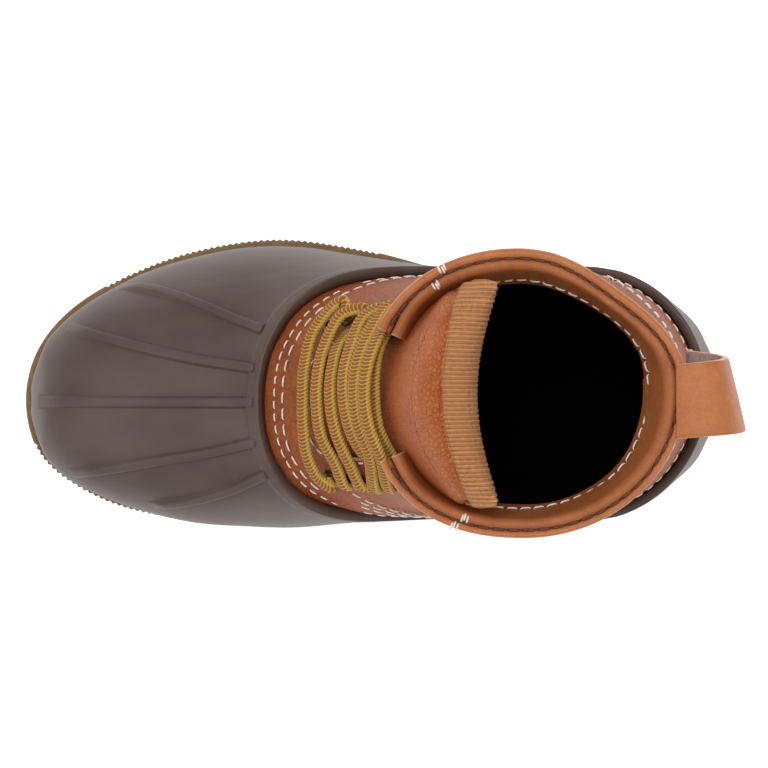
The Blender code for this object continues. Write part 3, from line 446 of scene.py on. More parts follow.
def patch_grid(first, second, u, first_run, rest):
    """Rows and loops of a patch between two lines, and the real distance of each from the first.

    The distances are first_run, and then the shares rest of what is left.
    """
    length = share_at(first, second, np.abs(u), np.array([0.0]))[1]
    near = np.broadcast_to(first_run, (len(u), len(first_run)))
    far = first_run[-1] + (length[:, None] - first_run[-1]) * rest[None, :]
    distances = np.concatenate([near, far], axis=1)
    share, _ = share_at(first, second, np.abs(u), distances)
    row, loop = between(first, second, np.abs(u)[:, None], share)
    return row.T, (loop * np.where(u < 0, -1, 1)[:, None]).T, distances.T, length


# %% [markdown]
# ## Materials
# Colours are written as they are seen and turned to linear light by one function. Every pattern takes
# its scale from a real size in millimetres.

# %% Material helpers
def colour(code):
    """A seen colour such as b06a42 as linear red, green, blue and alpha."""
    seen = [int(code[k:k + 2], 16) / 255 for k in (0, 2, 4)]
    return tuple(c / 12.92 if c <= 0.04045 else ((c + 0.055) / 1.055) ** 2.4 for c in seen) + (1.0,)


def add_node(tree, kind, links=(), **settings):
    """Add a node. Settings are its properties or input values, and links are (input, other output)."""
    node = tree.nodes.new("ShaderNode" + kind)
    for key, value in settings.items():
        if hasattr(node, key):
            setattr(node, key, value)
        else:
            node.inputs[key.replace("_", " ")].default_value = value
    for socket, source in links:
        tree.links.new(source, node.inputs[socket])
    return node


def math_node(tree, operation, *terms):
    """A maths node whose terms are numbers or other nodes' outputs."""
    node = tree.nodes.new("ShaderNodeMath")
    node.operation = operation
    for k, term in enumerate(terms):
        if isinstance(term, (int, float)):
            node.inputs[k].default_value = term
        else:
            tree.links.new(term, node.inputs[k])
    return node.outputs[0]


def new_material(name, roughness, specular=0.5, coat=0.0):
    """A material with its shader, and the shader's constants."""
    made = bpy.data.materials.new(name)
    made.use_nodes = True
    shader = made.node_tree.nodes["Principled BSDF"]
    shader.inputs["Roughness"].default_value = roughness
    shader.inputs["Specular IOR Level"].default_value = specular
    shader.inputs["Coat Weight"].default_value = coat
    return made, made.node_tree, shader


def noise(tree, size, detail=3.0, stretch=None, roughness=0.55):
    """Noise whose blotches are about size millimetres, in the object's own coordinates."""
    place = add_node(tree, "TexCoord")
    source = place.outputs["Object"]
    if stretch:
        source = add_node(tree, "Mapping", [("Vector", source)], Scale=stretch).outputs[0]
    return add_node(tree, "TexNoise", [("Vector", source)], Scale=1 / (size * MM), Detail=detail,
                    Roughness=roughness).outputs["Fac"]


def mix(tree, factor, first, second):
    """Two colours mixed by a number. Each is a hex code or another node's output."""
    node = add_node(tree, "Mix", data_type="RGBA")
    for socket, value in ((node.inputs["Factor"], factor), (node.inputs[6], first), (node.inputs[7], second)):
        if isinstance(value, str):
            socket.default_value = colour(value)
        elif isinstance(value, (int, float)):
            socket.default_value = value
        else:
            tree.links.new(value, socket)
    return node.outputs[2]


def ramp(tree, value, low, high, to_low=0.0, to_high=1.0):
    """A number stretched so that low becomes to_low and high to_high."""
    node = add_node(tree, "MapRange", [("Value", value)])
    for key, number in (("From Min", low), ("From Max", high), ("To Min", to_low), ("To Max", to_high)):
        node.inputs[key].default_value = number
    return node.outputs[0]


def bump(tree, shader, heights, distance):
    """Small relief from a list of (height output, share), in millimetres."""
    total = None
    for height, share in heights:
        part = math_node(tree, "MULTIPLY", height, share)
        total = part if total is None else math_node(tree, "ADD", total, part)
    node = add_node(tree, "Bump", [("Height", total)], Distance=distance * MM)
    tree.links.new(node.outputs[0], shader.inputs["Normal"])


CUT_EDGE = "d8b394"


def leather(name, base, light, dark, grain, relief, roughness, worn, coat=0.07, pebble=0.0):
    """Waxed leather: mottled in two tones, with fine grain, pores and, where asked, soft pebbles whose
    creases are painted darker as shade.

    grain and pebble are sizes in millimetres, and worn is the share of the dark tone.
    """
    made, tree, shader = new_material(name, roughness, 0.3, coat)
    shader.inputs["Coat Roughness"].default_value = 0.38
    blotch = ramp(tree, noise(tree, 9.0, 4.0), 0.36, 0.64)
    fine = ramp(tree, noise(tree, grain * 1.6, 4.0, roughness=0.7), 0.35, 0.65)
    tone = mix(tree, math_node(tree, "MULTIPLY", blotch, 0.75), base, light)
    tone = mix(tree, math_node(tree, "MULTIPLY", fine, worn), tone, dark)
    place = add_node(tree, "TexCoord").outputs["Object"]
    heights = [(noise(tree, grain, 3.0, roughness=0.65), 0.7)]
    cells = add_node(tree, "TexVoronoi", [("Vector", place)], Scale=1 / ((pebble or grain * 1.3) * MM),
                     feature="DISTANCE_TO_EDGE").outputs["Distance"]
    crack = ramp(tree, cells, 0.0, 0.22)
    heights.append((crack, 1.0 if pebble else 0.35))
    # Where there are pebbles, the creases between them are painted darker: painted shade
    if pebble:
        tone = mix(tree, ramp(tree, cells, 0.0, 0.16, 0.35, 0.0), tone, dark)
    cut = add_node(tree, "Attribute", attribute_name="cut").outputs["Fac"]
    tone = mix(tree, cut, tone, CUT_EDGE)
    tree.links.new(tone, shader.inputs["Base Color"])
    bump(tree, shader, heights, relief)
    return made


# %% Materials
# Oiled vamp leather: darker and redder, with a close grain
vamp_leather = leather("oiled_vamp_leather", "984d24", "aa5f32", "6b2f10", grain=0.7, relief=0.3,
                       roughness=0.6, coat=0.0, worn=0.55)
# Smooth leather of the collar and the pull loop: soft sheen, small pores
collar_leather = leather("smooth_collar_leather", "ad6536", "bf7846", "914d25", grain=0.8, relief=0.1,
                         roughness=0.45, worn=0.3)
# Inner facing of the collar: the same hide, painted darker as shade
facing_leather_painted_shade = leather("facing_leather_painted_shade", "9e5a30", "af6b3c", "82441f", grain=0.8, relief=0.1,
                         roughness=0.55, coat=0.05, worn=0.3)
# Padded tongue: tumbled leather whose pebbles show, with painted shade in the creases between them
tongue_leather = leather("tumbled_tongue_leather", "ae5827", "be6f38", "8a421a", grain=0.9, pebble=1.25,
                         relief=0.24, roughness=0.5, worn=0.35)


def plain(name, base, light, size, roughness, relief=0.0, specular=0.5, stretch=None):
    """A material in two close tones, in blotches of size millimetres, with fine noise relief."""
    made, tree, shader = new_material(name, roughness, specular)
    value = noise(tree, size, stretch=stretch)
    tree.links.new(mix(tree, ramp(tree, value, 0.35, 0.65), base, light), shader.inputs["Base Color"])
    if relief:
        bump(tree, shader, [(noise(tree, size * 0.12, 3.0), 1.0)], relief)
    return made


# Moulded rubber: brown grey, matt, with long faint flow streaks
brown_rubber = plain("moulded_brown_rubber", "4e3d37", "5a4841", 16.0, 0.5, 0.05, specular=0.42,
                     stretch=(0.5, 1.0, 1.0))
# Gum rubber of the sole's edge: yellow brown and dull
gum_rubber = plain("gum_rubber", "8a6c46", "77583a", 3.0, 0.7, 0.12)
# Waxed white thread, and brown thread whose dark tone is also painted shade for the collar's groove
white_thread = plain("white_waxed_thread", "efe9e1", "d9cfc4", 0.8, 0.6)
brown_thread_and_groove_shade = plain("brown_thread_and_painted_groove_shade", "4a200c", "5c2c12", 0.8, 0.6)
# Black lining that takes up all light inside the boot: the dark inside is painted shade
black_lining = plain("black_lining", "020202", "050505", 1.0, 0.95, specular=0.05)
# Suede backing of the pull loop: grey pink and woven
suede = plain("suede_backing", "c6aea6", "b0968c", 0.9, 0.9, 0.25, specular=0.2)
# Dark oxidised brass of the eyelets
brass, brass_tree, brass_shader = new_material("antique_brass", 0.38)
brass_shader.inputs["Metallic"].default_value = 1.0
brass_tone = mix(brass_tree, ramp(brass_tree, noise(brass_tree, 1.5), 0.4, 0.6), "6b5238", "3c2d20")
brass_tree.links.new(brass_tone, brass_shader.inputs["Base Color"])


# The length of lace that one strand takes up, and how many strands it slants by from middle to edge
BRAID_PITCH = 0.95
BRAID_SLANT = 0.8


def braid():
    """Braided lace: gold strands along the edges and a brown chevron down the middle, with painted shade
    in the gaps between strands.

    The mesh's UVs hold the run along the lace and the distance from its top line: 0 there, 1 at
    the lace's edges and 2 underneath. A strand is one period of their sum.
    """
    made, tree, shader = new_material("gold_brown_braid", 0.75, 0.3)
    place = add_node(tree, "SeparateXYZ", [("Vector", add_node(tree, "UVMap").outputs[0])])
    run, across = place.outputs[0], place.outputs[1]
    phase = math_node(tree, "ADD", math_node(tree, "DIVIDE", run, BRAID_PITCH),
                      math_node(tree, "MULTIPLY", across, BRAID_SLANT))
    strand = math_node(tree, "ABSOLUTE", math_node(tree, "SUBTRACT", math_node(tree, "FRACT", phase), 0.5))
    reach = ramp(tree, across, 0.36, 0.58, 0.11, 0.47)
    gold = ramp(tree, math_node(tree, "SUBTRACT", reach, strand), -0.05, 0.05)
    thread = noise(tree, 0.35, 2.0)
    brown_tone = mix(tree, thread, "a3642f", "7f4a22")
    gold_tone = mix(tree, thread, "d2ae52", "b5903c")
    tone = mix(tree, gold, brown_tone, gold_tone)
    # The gaps between strands are painted dark brown: painted shade
    gap = ramp(tree, strand, 0.42, 0.5, 0.0, 0.4)
    tree.links.new(mix(tree, gap, tone, "4a2a10"), shader.inputs["Base Color"])
    bump(tree, shader, [(math_node(tree, "MULTIPLY", strand, -1.0), 1.0), (thread, 0.3)], 0.35)
    return made


lace_braid = braid()
# One loop of the knit along its ribs, and one rib across
KNIT_LOOP = 0.9
KNIT_RIB = 1.1


def knit():
    """Ribbed knit: small loops in rows, drawn from the UVs in millimetres, over the ribs of the mesh, with
    painted shade in the valleys between ribs.
    """
    made, tree, shader = new_material("ribbed_knit", 0.85, 0.2)
    place = add_node(tree, "SeparateXYZ", [("Vector", add_node(tree, "UVMap").outputs[0])])
    wave = math_node(tree, "SINE", math_node(tree, "MULTIPLY", place.outputs[0], 2 * math.pi / KNIT_LOOP))
    rib = math_node(tree, "SINE", math_node(tree, "MULTIPLY", place.outputs[1], 2 * math.pi / KNIT_RIB))
    # The valleys between ribs are painted darker: painted shade
    painted_valley_shade = ramp(tree, rib, -0.9, 0.2, 0.55, 0.0)
    tone = mix(tree, noise(tree, 1.2), "d39764", "c48757")
    tree.links.new(mix(tree, painted_valley_shade, tone, "9a6440"), shader.inputs["Base Color"])
    bump(tree, shader, [(rib, 1.0), (wave, 0.35), (noise(tree, 0.4), 0.3)], 0.28)
    return made


ribbed_knit = knit()


# %% [markdown]
# ## The moulded rubber bottom
# Lines run from the rim to the sole's edge, so the raised band follows the rim exactly. The ribs of the
# toe are swept on their own along routes given in plan.

# %% Rubber bottom
RUBBER_ALONG = 300
sides = both_sides(RUBBER_ALONG)
# Down from the rim: distance run and distance out of the rim's back, its top edge, the band and the wall
band_run = np.array([3.0, 0.0, 0.0, 0.08, 0.3, 0.7, 1.4, 2.4, 3.2, 3.7, 4.0, 4.25, 4.55, 5.0])
band_out = np.array([0.5, 0.5, 2.3, 3.05, 3.3, SKIN + BAND, SKIN + BAND, SKIN + BAND, SKIN + BAND,
                     SKIN + BAND - 0.03, SKIN + BAND - 0.2, SKIN + 0.35, SKIN + 0.06, SKIN])
lower = np.linspace(0, 1, 66)[1:]
row, loop, _, _ = patch_grid(low_line, sole_line, sides, band_run, lower)
out = np.concatenate([band_out, np.full(len(lower), SKIN)])[:, None] * np.ones((1, len(sides)))
# The band stands out over the vamp and is low along the sides and the heel
band_share = 1 - 0.6 * smooth_step(0.28, 0.45, np.abs(sides))
band_rows = slice(3, len(band_out))
out[band_rows] = SKIN + (out[band_rows] - SKIN) * band_share
flare = smooth_step(0.93, 1.0, np.concatenate([np.zeros(len(band_out)), lower]))[:, None]
out = out + 0.5 * flare

BOOT_MIDDLE = np.array([95.0, 3.0, 0.0])
# How many of the lowest rows hang straight down and how many are worn smooth, and the sole's upper face
HANGING_ROWS = 20
WORN_ROWS = 30
SOLE_FACE = 11.8


def tuck_under(points):
    """The rubber hangs straight down at the toe's tip and the heel's back, then turns in under the boot.

    The hanging rows keep the reach of the widest row above them, seen in plan from the middle.
    """
    middle = BOOT_MIDDLE[:2]
    from_middle = points[-HANGING_ROWS:, :, :2] - middle
    reach_out = np.linalg.norm(from_middle, axis=2)
    widest = np.maximum.accumulate(reach_out, axis=0)
    stands_high = smooth_step(12.5, 16.0, points[-1, :, 2])
    stretch = 1 + (widest / reach_out - 1) * stands_high
    points[-HANGING_ROWS:, :, :2] = middle + from_middle * stretch[..., None]
    edge = points[-1]
    low = np.stack([edge[:, 0], edge[:, 1], np.minimum(edge[:, 2], SOLE_FACE)], axis=1)
    inward = BOOT_MIDDLE - edge * (1, 1, 0)
    inward /= np.linalg.norm(inward, axis=1, keepdims=True)
    wall = edge + (low + inward * 0.3 - edge) * np.linspace(0, 1, 12)[1:, None, None]
    # Each point moves toward the mean of its four neighbours, fully only where the edge stands high
    skirt = np.concatenate([points[-WORN_ROWS:], wall])
    share = stands_high.copy()
    for _ in range(8):
        share = np.maximum(share, 0.97 * np.maximum(np.roll(share, 1), np.roll(share, -1)))
    # The toe's ribs lie on its upper rows, so those stay where they are
    begins = np.where(np.abs(sides) < 0.5, 19.0, 0.0)
    pull = (share * smooth_step(0.0, 8.0, np.arange(1.0, len(skirt) - 1)[:, None] - begins))[..., None]
    for _ in range(120):
        beside = np.roll(skirt, 1, axis=1) + np.roll(skirt, -1, axis=1)
        mean = (skirt[:-2] + skirt[2:] + beside[1:-1]) / 4
        skirt[1:-1] += (mean - skirt[1:-1]) * pull
    points[-WORN_ROWS:] = skirt[:WORN_ROWS]
    turned_in = [low + inward * 2.4 - (0, 0, 0.4), low + inward * 9.0 - (0, 0, 0.4)]
    return np.concatenate([skirt[WORN_ROWS:], turned_in])


rubber = patch_piece("rubber_shell", row, loop, out, extra=tuck_under)
rubber.data.materials.append(brown_rubber)
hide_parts("rubber_bottom")

# The toe's ribs: places of each route in plan, from the toe's front to the band
RIBS = {
    "middle": ((185.0, 4.7), (170.0, 4.8), (150.0, 4.9), (125.0, 4.9)),
    "lateral_inner": ((177.0, -15.4), (167.0, -12.6), (151.0, -8.6), (140.0, -6.4), (124.8, -4.1)),
    "lateral_outer": ((162.5, -26.6), (152.0, -25.2), (141.0, -21.6), (131.0, -17.4), (122.6, -14.4)),
    "medial_inner": ((176.0, 24.3), (166.0, 23.0), (151.0, 20.4), (140.0, 18.8), (124.4, 15.3)),
    "medial_outer": ((154.0, 32.8), (143.0, 31.4), (133.0, 28.8), (121.6, 23.8)),
}
toe_rows, toe_loops = np.meshgrid(np.linspace(0.1, 12, 600), np.linspace(-0.85, 0.85, 700), indexing="ij")
toe_points = on_last(toe_rows, toe_loops, np.full(toe_rows.shape, SKIN))


def over_plan(plan):
    """Row and loop of the toe's point nearest in plan to each place."""
    found = [np.argmin((toe_points[..., 0] - x) ** 2 + (toe_points[..., 1] - y) ** 2) for x, y in plan]
    return toe_rows.ravel()[found], toe_loops.ravel()[found]


def smoothed(values):
    """A list of numbers with its small steps worn off, its ends kept."""
    values = np.array(values, float)
    for _ in range(12):
        values[1:-1] = (values[:-2] + 2 * values[1:-1] + values[2:]) / 4
    return values


# A rib's section: (sideways, out) pairs
rib_section = np.array([(-2.0, -0.5), (-1.75, -0.05), (-1.5, 0.1), (-1.3, 0.7), (-1.05, 1.1), (-0.6, 1.18),
                        (0.6, 1.18), (1.05, 1.1), (1.3, 0.7), (1.5, 0.1), (1.75, -0.05), (2.0, -0.5)])
rib_points, rib_quads, rib_caps, offset = [], [], [], 0
for route in RIBS.values():
    plan = smooth_path(route, 70)
    rib_rows, rib_loops = (smoothed(values) for values in over_plan(plan))
    centre = on_last(rib_rows, rib_loops, np.full(len(plan), SKIN))
    fade = np.clip(np.linspace(0, 9, len(plan)), 0.15, 1)
    section = np.stack([np.broadcast_to(rib_section[:, 0], (len(plan), len(rib_section))),
                        rib_section[:, 1] * fade[:, None]], axis=-1)
    rings = sweep(centre, last_normal(rib_rows, rib_loops), section)
    points, quads, caps, _ = capped_tube(rings)
    rib_points.append(points)
    rib_quads.append(quads + offset)
    rib_caps.append(caps + offset)
    offset += len(points)
ribs = join_quads_and_triangles("toe_ribs", np.concatenate(rib_points), np.concatenate(rib_quads),
                                np.concatenate(rib_caps))
ribs.data.materials.append(brown_rubber)

# %% [markdown]
# ## The outsole
# A grid of stations across the sole. Teeth are cut along the edge where the photograph shows them, and
# cross grooves with a wavy line between them make the tread.

# %% Outsole
# The outline of the sole: angle round it from the toe (0) to the heel (180), lateral y and medial y
SOLE = np.array([
    (0, 4.4, 4.4), (15, -9.4, 18.4), (30, -21.0, 27.6), (45, -30.2, 34.6), (60, -37.3, 38.0),
    (75, -40.3, 37.8), (90, -37.0, 34.6), (105, -30.6, 29.8), (120, -26.8, 27.4), (135, -25.4, 27.6),
    (150, -20.4, 24.2), (165, -12.2, 16.6), (180, 2.6, 2.6),
])
# The sole seen from the side: x, height of its upper face and of its tread
SIDE = np.array([
    (-2.0, 13.0, 2.4), (4.0, 12.9, 0.0), (30.0, 12.4, 0.0), (50.0, 11.2, 0.0), (57.0, 10.6, 2.6),
    (76.0, 8.2, 2.8), (96.0, 6.4, 0.4), (104.0, 6.0, 0.0), (128.0, 5.5, 0.0), (148.0, 5.8, 0.0),
    (160.0, 6.6, 0.6), (172.0, 7.8, 1.9), (182.0, 9.2, 3.6), (192.0, 11.0, 6.0),
])
SOLE_LENGTH = 189.8
TOOTH = 1.75
TOOTH_DEPTH = 0.55
stations = np.linspace(0, math.pi, 620)
sole_x = SOLE_LENGTH / 2 * (1 + np.cos(stations))
edges = []
# The column of each edge and the x between which it has teeth
for column, first, last in ((1, 92, 168), (2, 125, 187.5)):
    y = curve_value(np.radians(SOLE[:, 0]), SOLE[:, column], stations)
    plan = np.stack([sole_x, y], axis=1)
    toothed = (sole_x > first) & (sole_x < last)
    wave = 0.5 - 0.5 * np.cos(2 * math.pi * run_along(plan) / TOOTH)
    tangent = np.gradient(plan, axis=0)
    tangent /= np.linalg.norm(tangent, axis=1, keepdims=True)
    inward = np.stack([tangent[:, 1], -tangent[:, 0]], axis=1) * (1 if column == 1 else -1)
    edges.append((plan, inward, np.where(toothed, TOOTH_DEPTH * wave, 0.0)))


def sole_ring(height_share, sink, inset):
    """The outline at a share of the sole's height, moved in by inset, with its teeth sunk by sink."""
    ring = []
    for plan, inward, tooth in edges:
        at = plan + inward * (tooth * sink + inset)[:, None]
        top = np.interp(at[:, 0], SIDE[:, 0], SIDE[:, 1])
        tread = np.interp(at[:, 0], SIDE[:, 0], SIDE[:, 2])
        ring.append(np.column_stack([at, tread + (top - tread) * height_share]))
    return np.concatenate([ring[0], ring[1][::-1][1:-1]])


# How far in the tread begins, how far apart its grooves are, and the depth of grooves and wavy lines
EDGE_INSET = 0.9
TREAD_PITCH = 7.0
GROOVE_DEPTH = 1.8
WAVE_DEPTH = 0.7


def to_line(x, first):
    """Distance to the nearest of the lines that lie TREAD_PITCH apart, one of them at first."""
    return np.abs((x - first + TREAD_PITCH / 2) % TREAD_PITCH - TREAD_PITCH / 2)


def tread_grid(across_count):
    """Grid points across the sole's tread between its two edges, with grooves and wavy lines cut in."""
    (a, in_a, _), (b, in_b, _) = edges
    inset = np.minimum(EDGE_INSET, 0.45 * np.linalg.norm(a - b, axis=1))[:, None]
    a, b = a + in_a * inset, b + in_b * inset
    share = np.linspace(0, 1, across_count)[None, :, None]
    plan = a[:, None, :] * (1 - share) + b[:, None, :] * share
    x, y = plan[..., 0], plan[..., 1]
    treads = ((x > 8) & (x < 51)) | ((x > 99) & (x < 184))
    depth = GROOVE_DEPTH * (1 - smooth_step(0.9, 1.4, to_line(x, 12.0))) * treads
    wave = to_line(x + 0.9 * np.sin(y * 2 * math.pi / 5.0), 15.5)
    depth = np.maximum(depth, WAVE_DEPTH * (1 - smooth_step(0.25, 0.55, wave)) * treads)
    side_run = np.minimum(share[..., 0], 1 - share[..., 0]) * np.linalg.norm(a - b, axis=1)[:, None]
    depth = depth * smooth_step(0.3, 1.2, side_run + 1.0 * (depth > 1.0))
    return np.stack([x, y, np.interp(x, SIDE[:, 0], SIDE[:, 2]) + depth], axis=-1)


# Rings of the sole's wall from the tread up: share of the height, share of the teeth, inset
SOLE_RINGS = ((0.0, 0.6, EDGE_INSET), (0.06, 1.0, 0.1), (0.5, 1.0, 0.0), (0.9, 1.0, 0.0), (1.0, 0.7, 0.35),
              (1.0, 0.7, 1.2), (1.0, 0.0, 9.0))
wall = np.stack([sole_ring(*ring) for ring in SOLE_RINGS])
wall_faces = grid_faces(*wall.shape[:2], wrap=True)
outsole = make_piece("outsole_edge", wall, wall_faces[:, ::-1], grid_uv(wall))
tread_points = tread_grid(70)
tread = make_piece("outsole_tread", tread_points, grid_faces(*tread_points.shape[:2]), grid_uv(tread_points))
for ob in (outsole, tread):
    ob.data.materials.append(gum_rubber)
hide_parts("outsole")

# %% [markdown]
# ## The leather upper
# One wall from the lace opening and the collar down behind the rubber's rim. Its cut edge is pale, and
# the vamp and the quarters have soft creases at listed places.

# %% Leather upper
LEATHER = 1.9
WALL_ALONG = 300
wall_sides = both_sides(WALL_ALONG)


def tucked_line(u):
    """The leather's hidden edge, behind the rubber."""
    at = np.linspace(0, 1, EDGE_COUNT)
    return np.interp(u, at, TUCK_ROWS), np.interp(u, at, TUCK_LOOPS)


def quarter_swell(above_rim, u):
    """How far the quarters stand out in a belt above the rim, more on the medial side."""
    belt = smooth_step(0.0, 4.0, above_rim) * (1 - smooth_step(12.0, 26.0, above_rim))
    part = smooth_step(0.2, 0.32, np.abs(u)) * (1 - smooth_step(0.5, 0.66, np.abs(u)))
    return belt * part * np.where(u > 0, 1.9, 0.5)


TUCK = 4.0
TUCK_ROWS, TUCK_LOOPS = rim_line(TUCK, EDGE_COUNT)
# Creases: plan place of the two ends, depth and width
CREASES = (
    ((118.0, -14.0), (114.0, 4.0), 0.35, 2.2), ((116.5, 8.0), (119.0, 24.0), 0.3, 2.0),
    ((80.0, -31.0), (60.0, -34.0), 0.5, 3.0), ((78.0, 31.0), (58.0, 35.0), 0.5, 3.0),
    ((44.0, -33.0), (30.0, -27.0), 0.4, 3.0), ((40.0, 36.0), (26.0, 28.0), 0.4, 3.0),
)
# Down from the cut edge: distance run, distance out, and how pale the leather is there
cut_run = np.array([2.5, 0.0, 0.0, 0.0, 0.0, 0.12, 0.4, 0.9])
cut_out = np.array([-LEATHER, -LEATHER, -1.35, -0.6, -0.2, -0.05, 0.0, 0.0])
cut_mark = np.array([0.0, 0.2, 1.0, 1.0, 0.6, 0.15, 0.0, 0.0])
rest = np.linspace(0, 1, 90)[1:]
row, loop, distances, length = patch_grid(top_line, tucked_line, wall_sides, cut_run, rest)
below_cut = cut_run[-1] < distances
plan = last_point(row, loop)
out = np.concatenate([cut_out, np.zeros(len(rest))])[:, None] * np.ones((1, len(wall_sides)))
for start, end, depth, width in CREASES:
    start, end = np.array(start), np.array(end)
    line = end - start
    share = np.clip(((plan[..., :2] - start) @ line) / (line @ line), 0, 1)
    away = np.linalg.norm(plan[..., :2] - start - share[..., None] * line, axis=-1)
    out = out - depth * np.exp(-(away / width) ** 2) * below_cut
out = out + quarter_swell(length - TUCK - distances, wall_sides) * below_cut
marks = np.concatenate([cut_mark, np.zeros(len(rest))])[:, None] * (np.abs(wall_sides) < 0.9 * CORNER)
upper = patch_piece("leather_upper", row, loop, out, values={"cut": marks})
upper.data.materials.append(vamp_leather)
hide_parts("upper")

# %% [markdown]
# ## The lining
# A second surface inside the leather runs from the collar to the sole. It is painted black as the shade
# inside the boot, so nothing inside shows.

# %% Lining
lining_sides = both_sides(120)
share = np.linspace(0, 1, 60)[:, None] * np.ones((1, len(lining_sides)))
row, loop = between(top_line, sole_line, np.abs(lining_sides)[None, :], share)
loop = loop * np.where(lining_sides < 0, -1, 1)
depth = -LEATHER - 0.25 - 0.3 * smooth_step(0.0, 0.1, share)
lining = patch_piece("black_lining", row, loop, depth)
lining.data.materials.append(black_lining)
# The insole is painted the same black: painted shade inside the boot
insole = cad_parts["insole"]
for material_slot in insole.material_slots:
    material_slot.material = black_lining

# %% [markdown]
# ## The collar
# Two sections are carried round the collar: an outer band and an inner roll with its facing. They meet
# in a groove, and dark stitches lie in it; their dark tone is partly the groove's painted shade.

# %% Collar band and facing
half_loops = np.interp(np.linspace(0, 1, 210), np.linspace(0, 1, LEG_COUNT), COLLAR_LOOPS)
collar_loops = np.concatenate([-half_loops, half_loops[::-1][1:]])
collar_path = last_point(COLLAR_ROW, collar_loops)
collar_out = last_normal(COLLAR_ROW, collar_loops)
collar_out[:, 2] *= 0.2
collar_out /= np.linalg.norm(collar_out, axis=1, keepdims=True)
collar_along = np.gradient(collar_path, axis=0)
collar_along /= np.linalg.norm(collar_along, axis=1, keepdims=True)
collar_up = np.cross(collar_along, collar_out)
collar_up *= np.sign(collar_up[:, 2:3])
collar_run = run_along(collar_path)
from_end = np.minimum(collar_run, collar_run[-1] - collar_run)
# The facing's width wanders a little
wave = 0.35 * np.sin(collar_run / 9.0) + 0.25 * np.sin(collar_run / 4.3 + 1.0)


# What lies further in than this, from the collar's line, is stretched by widen
ROLL_INNER = -3.0


def collar_sweep(name, section, widen, made_of, shift):
    """A closed section of (out, up) pairs carried round the collar, moved out by shift."""
    section = np.array(section, float)
    steps = np.linspace(0, len(section), len(section) * 4, endpoint=False)
    loop_keys = np.arange(-3, len(section) + 4)
    closed = section[loop_keys % len(section)]
    section = np.stack([curve_value(loop_keys, closed[:, k], steps) for k in range(2)], axis=1)
    o = section[None, :, 0] * np.ones((len(collar_path), 1))
    inner = np.maximum(ROLL_INNER - o, 0)
    o = o - inner * (widen[:, None] - 1) + shift[:, None]
    o = np.where(o > 0, o * (1 - 0.45 * smooth_step(0.0, 12.0, collar_path[:, 1]))[:, None], o)
    h = section[None, :, 1] * np.ones_like(o)
    h = h * np.clip(0.75 + from_end[:, None] / 20, 0, 1)
    rings = collar_path[:, None, :] + collar_out[:, None, :] * o[..., None]
    rings = rings + collar_up[:, None, :] * h[..., None]
    points, quads, caps, uv = capped_tube(rings)
    around = rings.shape[1]
    cut = np.zeros(len(points))
    cut[:around] = cut[-2 - around:] = 0.6
    ob = join_quads_and_triangles(name, points, quads, caps, uv, {"cut": cut})
    ob.data.materials.append(made_of)


splay = 0.9 * (1 - smooth_step(0.0, 14.0, from_end))
band_section = [(-1.15, -0.9), (-1.1, 0.3), (-0.75, 1.0), (0.0, 1.35), (0.75, 1.2), (1.2, 0.6),
                (1.4, -0.6), (1.35, -3.0), (1.25, -5.6), (1.0, -6.3), (0.5, -6.4), (0.15, -5.8),
                (0.1, -3.0), (-0.5, -1.6)]
facing_section = [(-1.35, -0.9), (-1.4, 0.3), (-1.8, 1.0), (-2.6, 1.3), (-3.5, 1.0), (-4.2, 0.1),
                  (-4.8, -2.0), (-5.5, -5.0), (-6.3, -8.5), (-7.0, -12.0), (-7.3, -13.6), (-6.9, -14.0),
                  (-6.3, -12.5), (-4.6, -7.0), (-3.0, -3.0), (-2.0, -1.6)]
heel_share = smooth_step(0.3, 0.5, 0.5 - np.abs(np.linspace(0, 1, len(collar_path)) - 0.5))
widen = 1.0 + 0.45 * heel_share + 0.06 * wave - 0.11 * collar_lean(collar_path[:, 0], collar_path[:, 1])
collar_sweep("collar_band", band_section, np.ones(len(collar_path)), collar_leather, splay * 0.3)
collar_sweep("collar_facing", facing_section, widen, facing_leather_painted_shade, -splay)


def collar_place(run, out, up, widened=False):
    """Points at runs round the collar, out and up from its line. widened follows the facing's stretch."""
    extra = (np.interp(run, collar_run, widen) - 1) * np.maximum(ROLL_INNER - out, 0) if widened else 0.0
    crest, outward, upward = (read_at(run, collar_run, grid) for grid in (collar_path, collar_out, collar_up))
    return crest + outward * (out - extra)[:, None] + upward * up[:, None]


# %% [markdown]
# ## Stitches
# A stitch is a short bent rod whose ends dive into the leather. Each row of stitches is one mesh made
# from an array of copies.

# %% Stitch rows
def stitch_row(name, path, normals, made_of, pitch, length, radius, lift, slant=0.0):
    """Stitches at even distances along a path on a surface."""
    run = run_along(path)
    count = max(1, int(run[-1] / pitch))
    at = (np.arange(count) + 0.5) * pitch
    grids = path, normals, np.gradient(path, axis=0)
    centre, normal, tangent = (read_at(at, run, grid) for grid in grids)
    tangent /= np.linalg.norm(tangent, axis=1, keepdims=True)
    across = np.cross(normal, tangent)
    across /= np.linalg.norm(across, axis=1, keepdims=True)
    up = np.cross(tangent, across)
    bend = np.linspace(-1, 1, 9)
    angle = np.linspace(0, 2 * math.pi, 8, endpoint=False)
    thick = radius * np.sqrt(np.clip(1 - 0.55 * bend ** 4, 0.05, 1))
    x = bend[:, None] * length / 2 + 0 * angle
    y = thick[:, None] * np.cos(angle) + slant * x
    z = thick[:, None] * np.sin(angle) * 0.8 + (lift * (1 - bend ** 4) - 0.35 * bend ** 8)[:, None]
    shape = np.stack([x, y, z], axis=-1).reshape(-1, 3)
    basis = np.stack([tangent, across, up], axis=1)
    points = centre[:, None, :] + np.einsum("pk,nkc->npc", shape, basis)
    faces = grid_faces(len(bend), len(angle), wrap=True)
    quads = (faces[None] + (np.arange(len(centre)) * len(shape))[:, None, None]).reshape(-1, 4)
    ob = make_piece(name, points, quads[:, ::-1])
    ob.data.materials.append(made_of)
    return ob


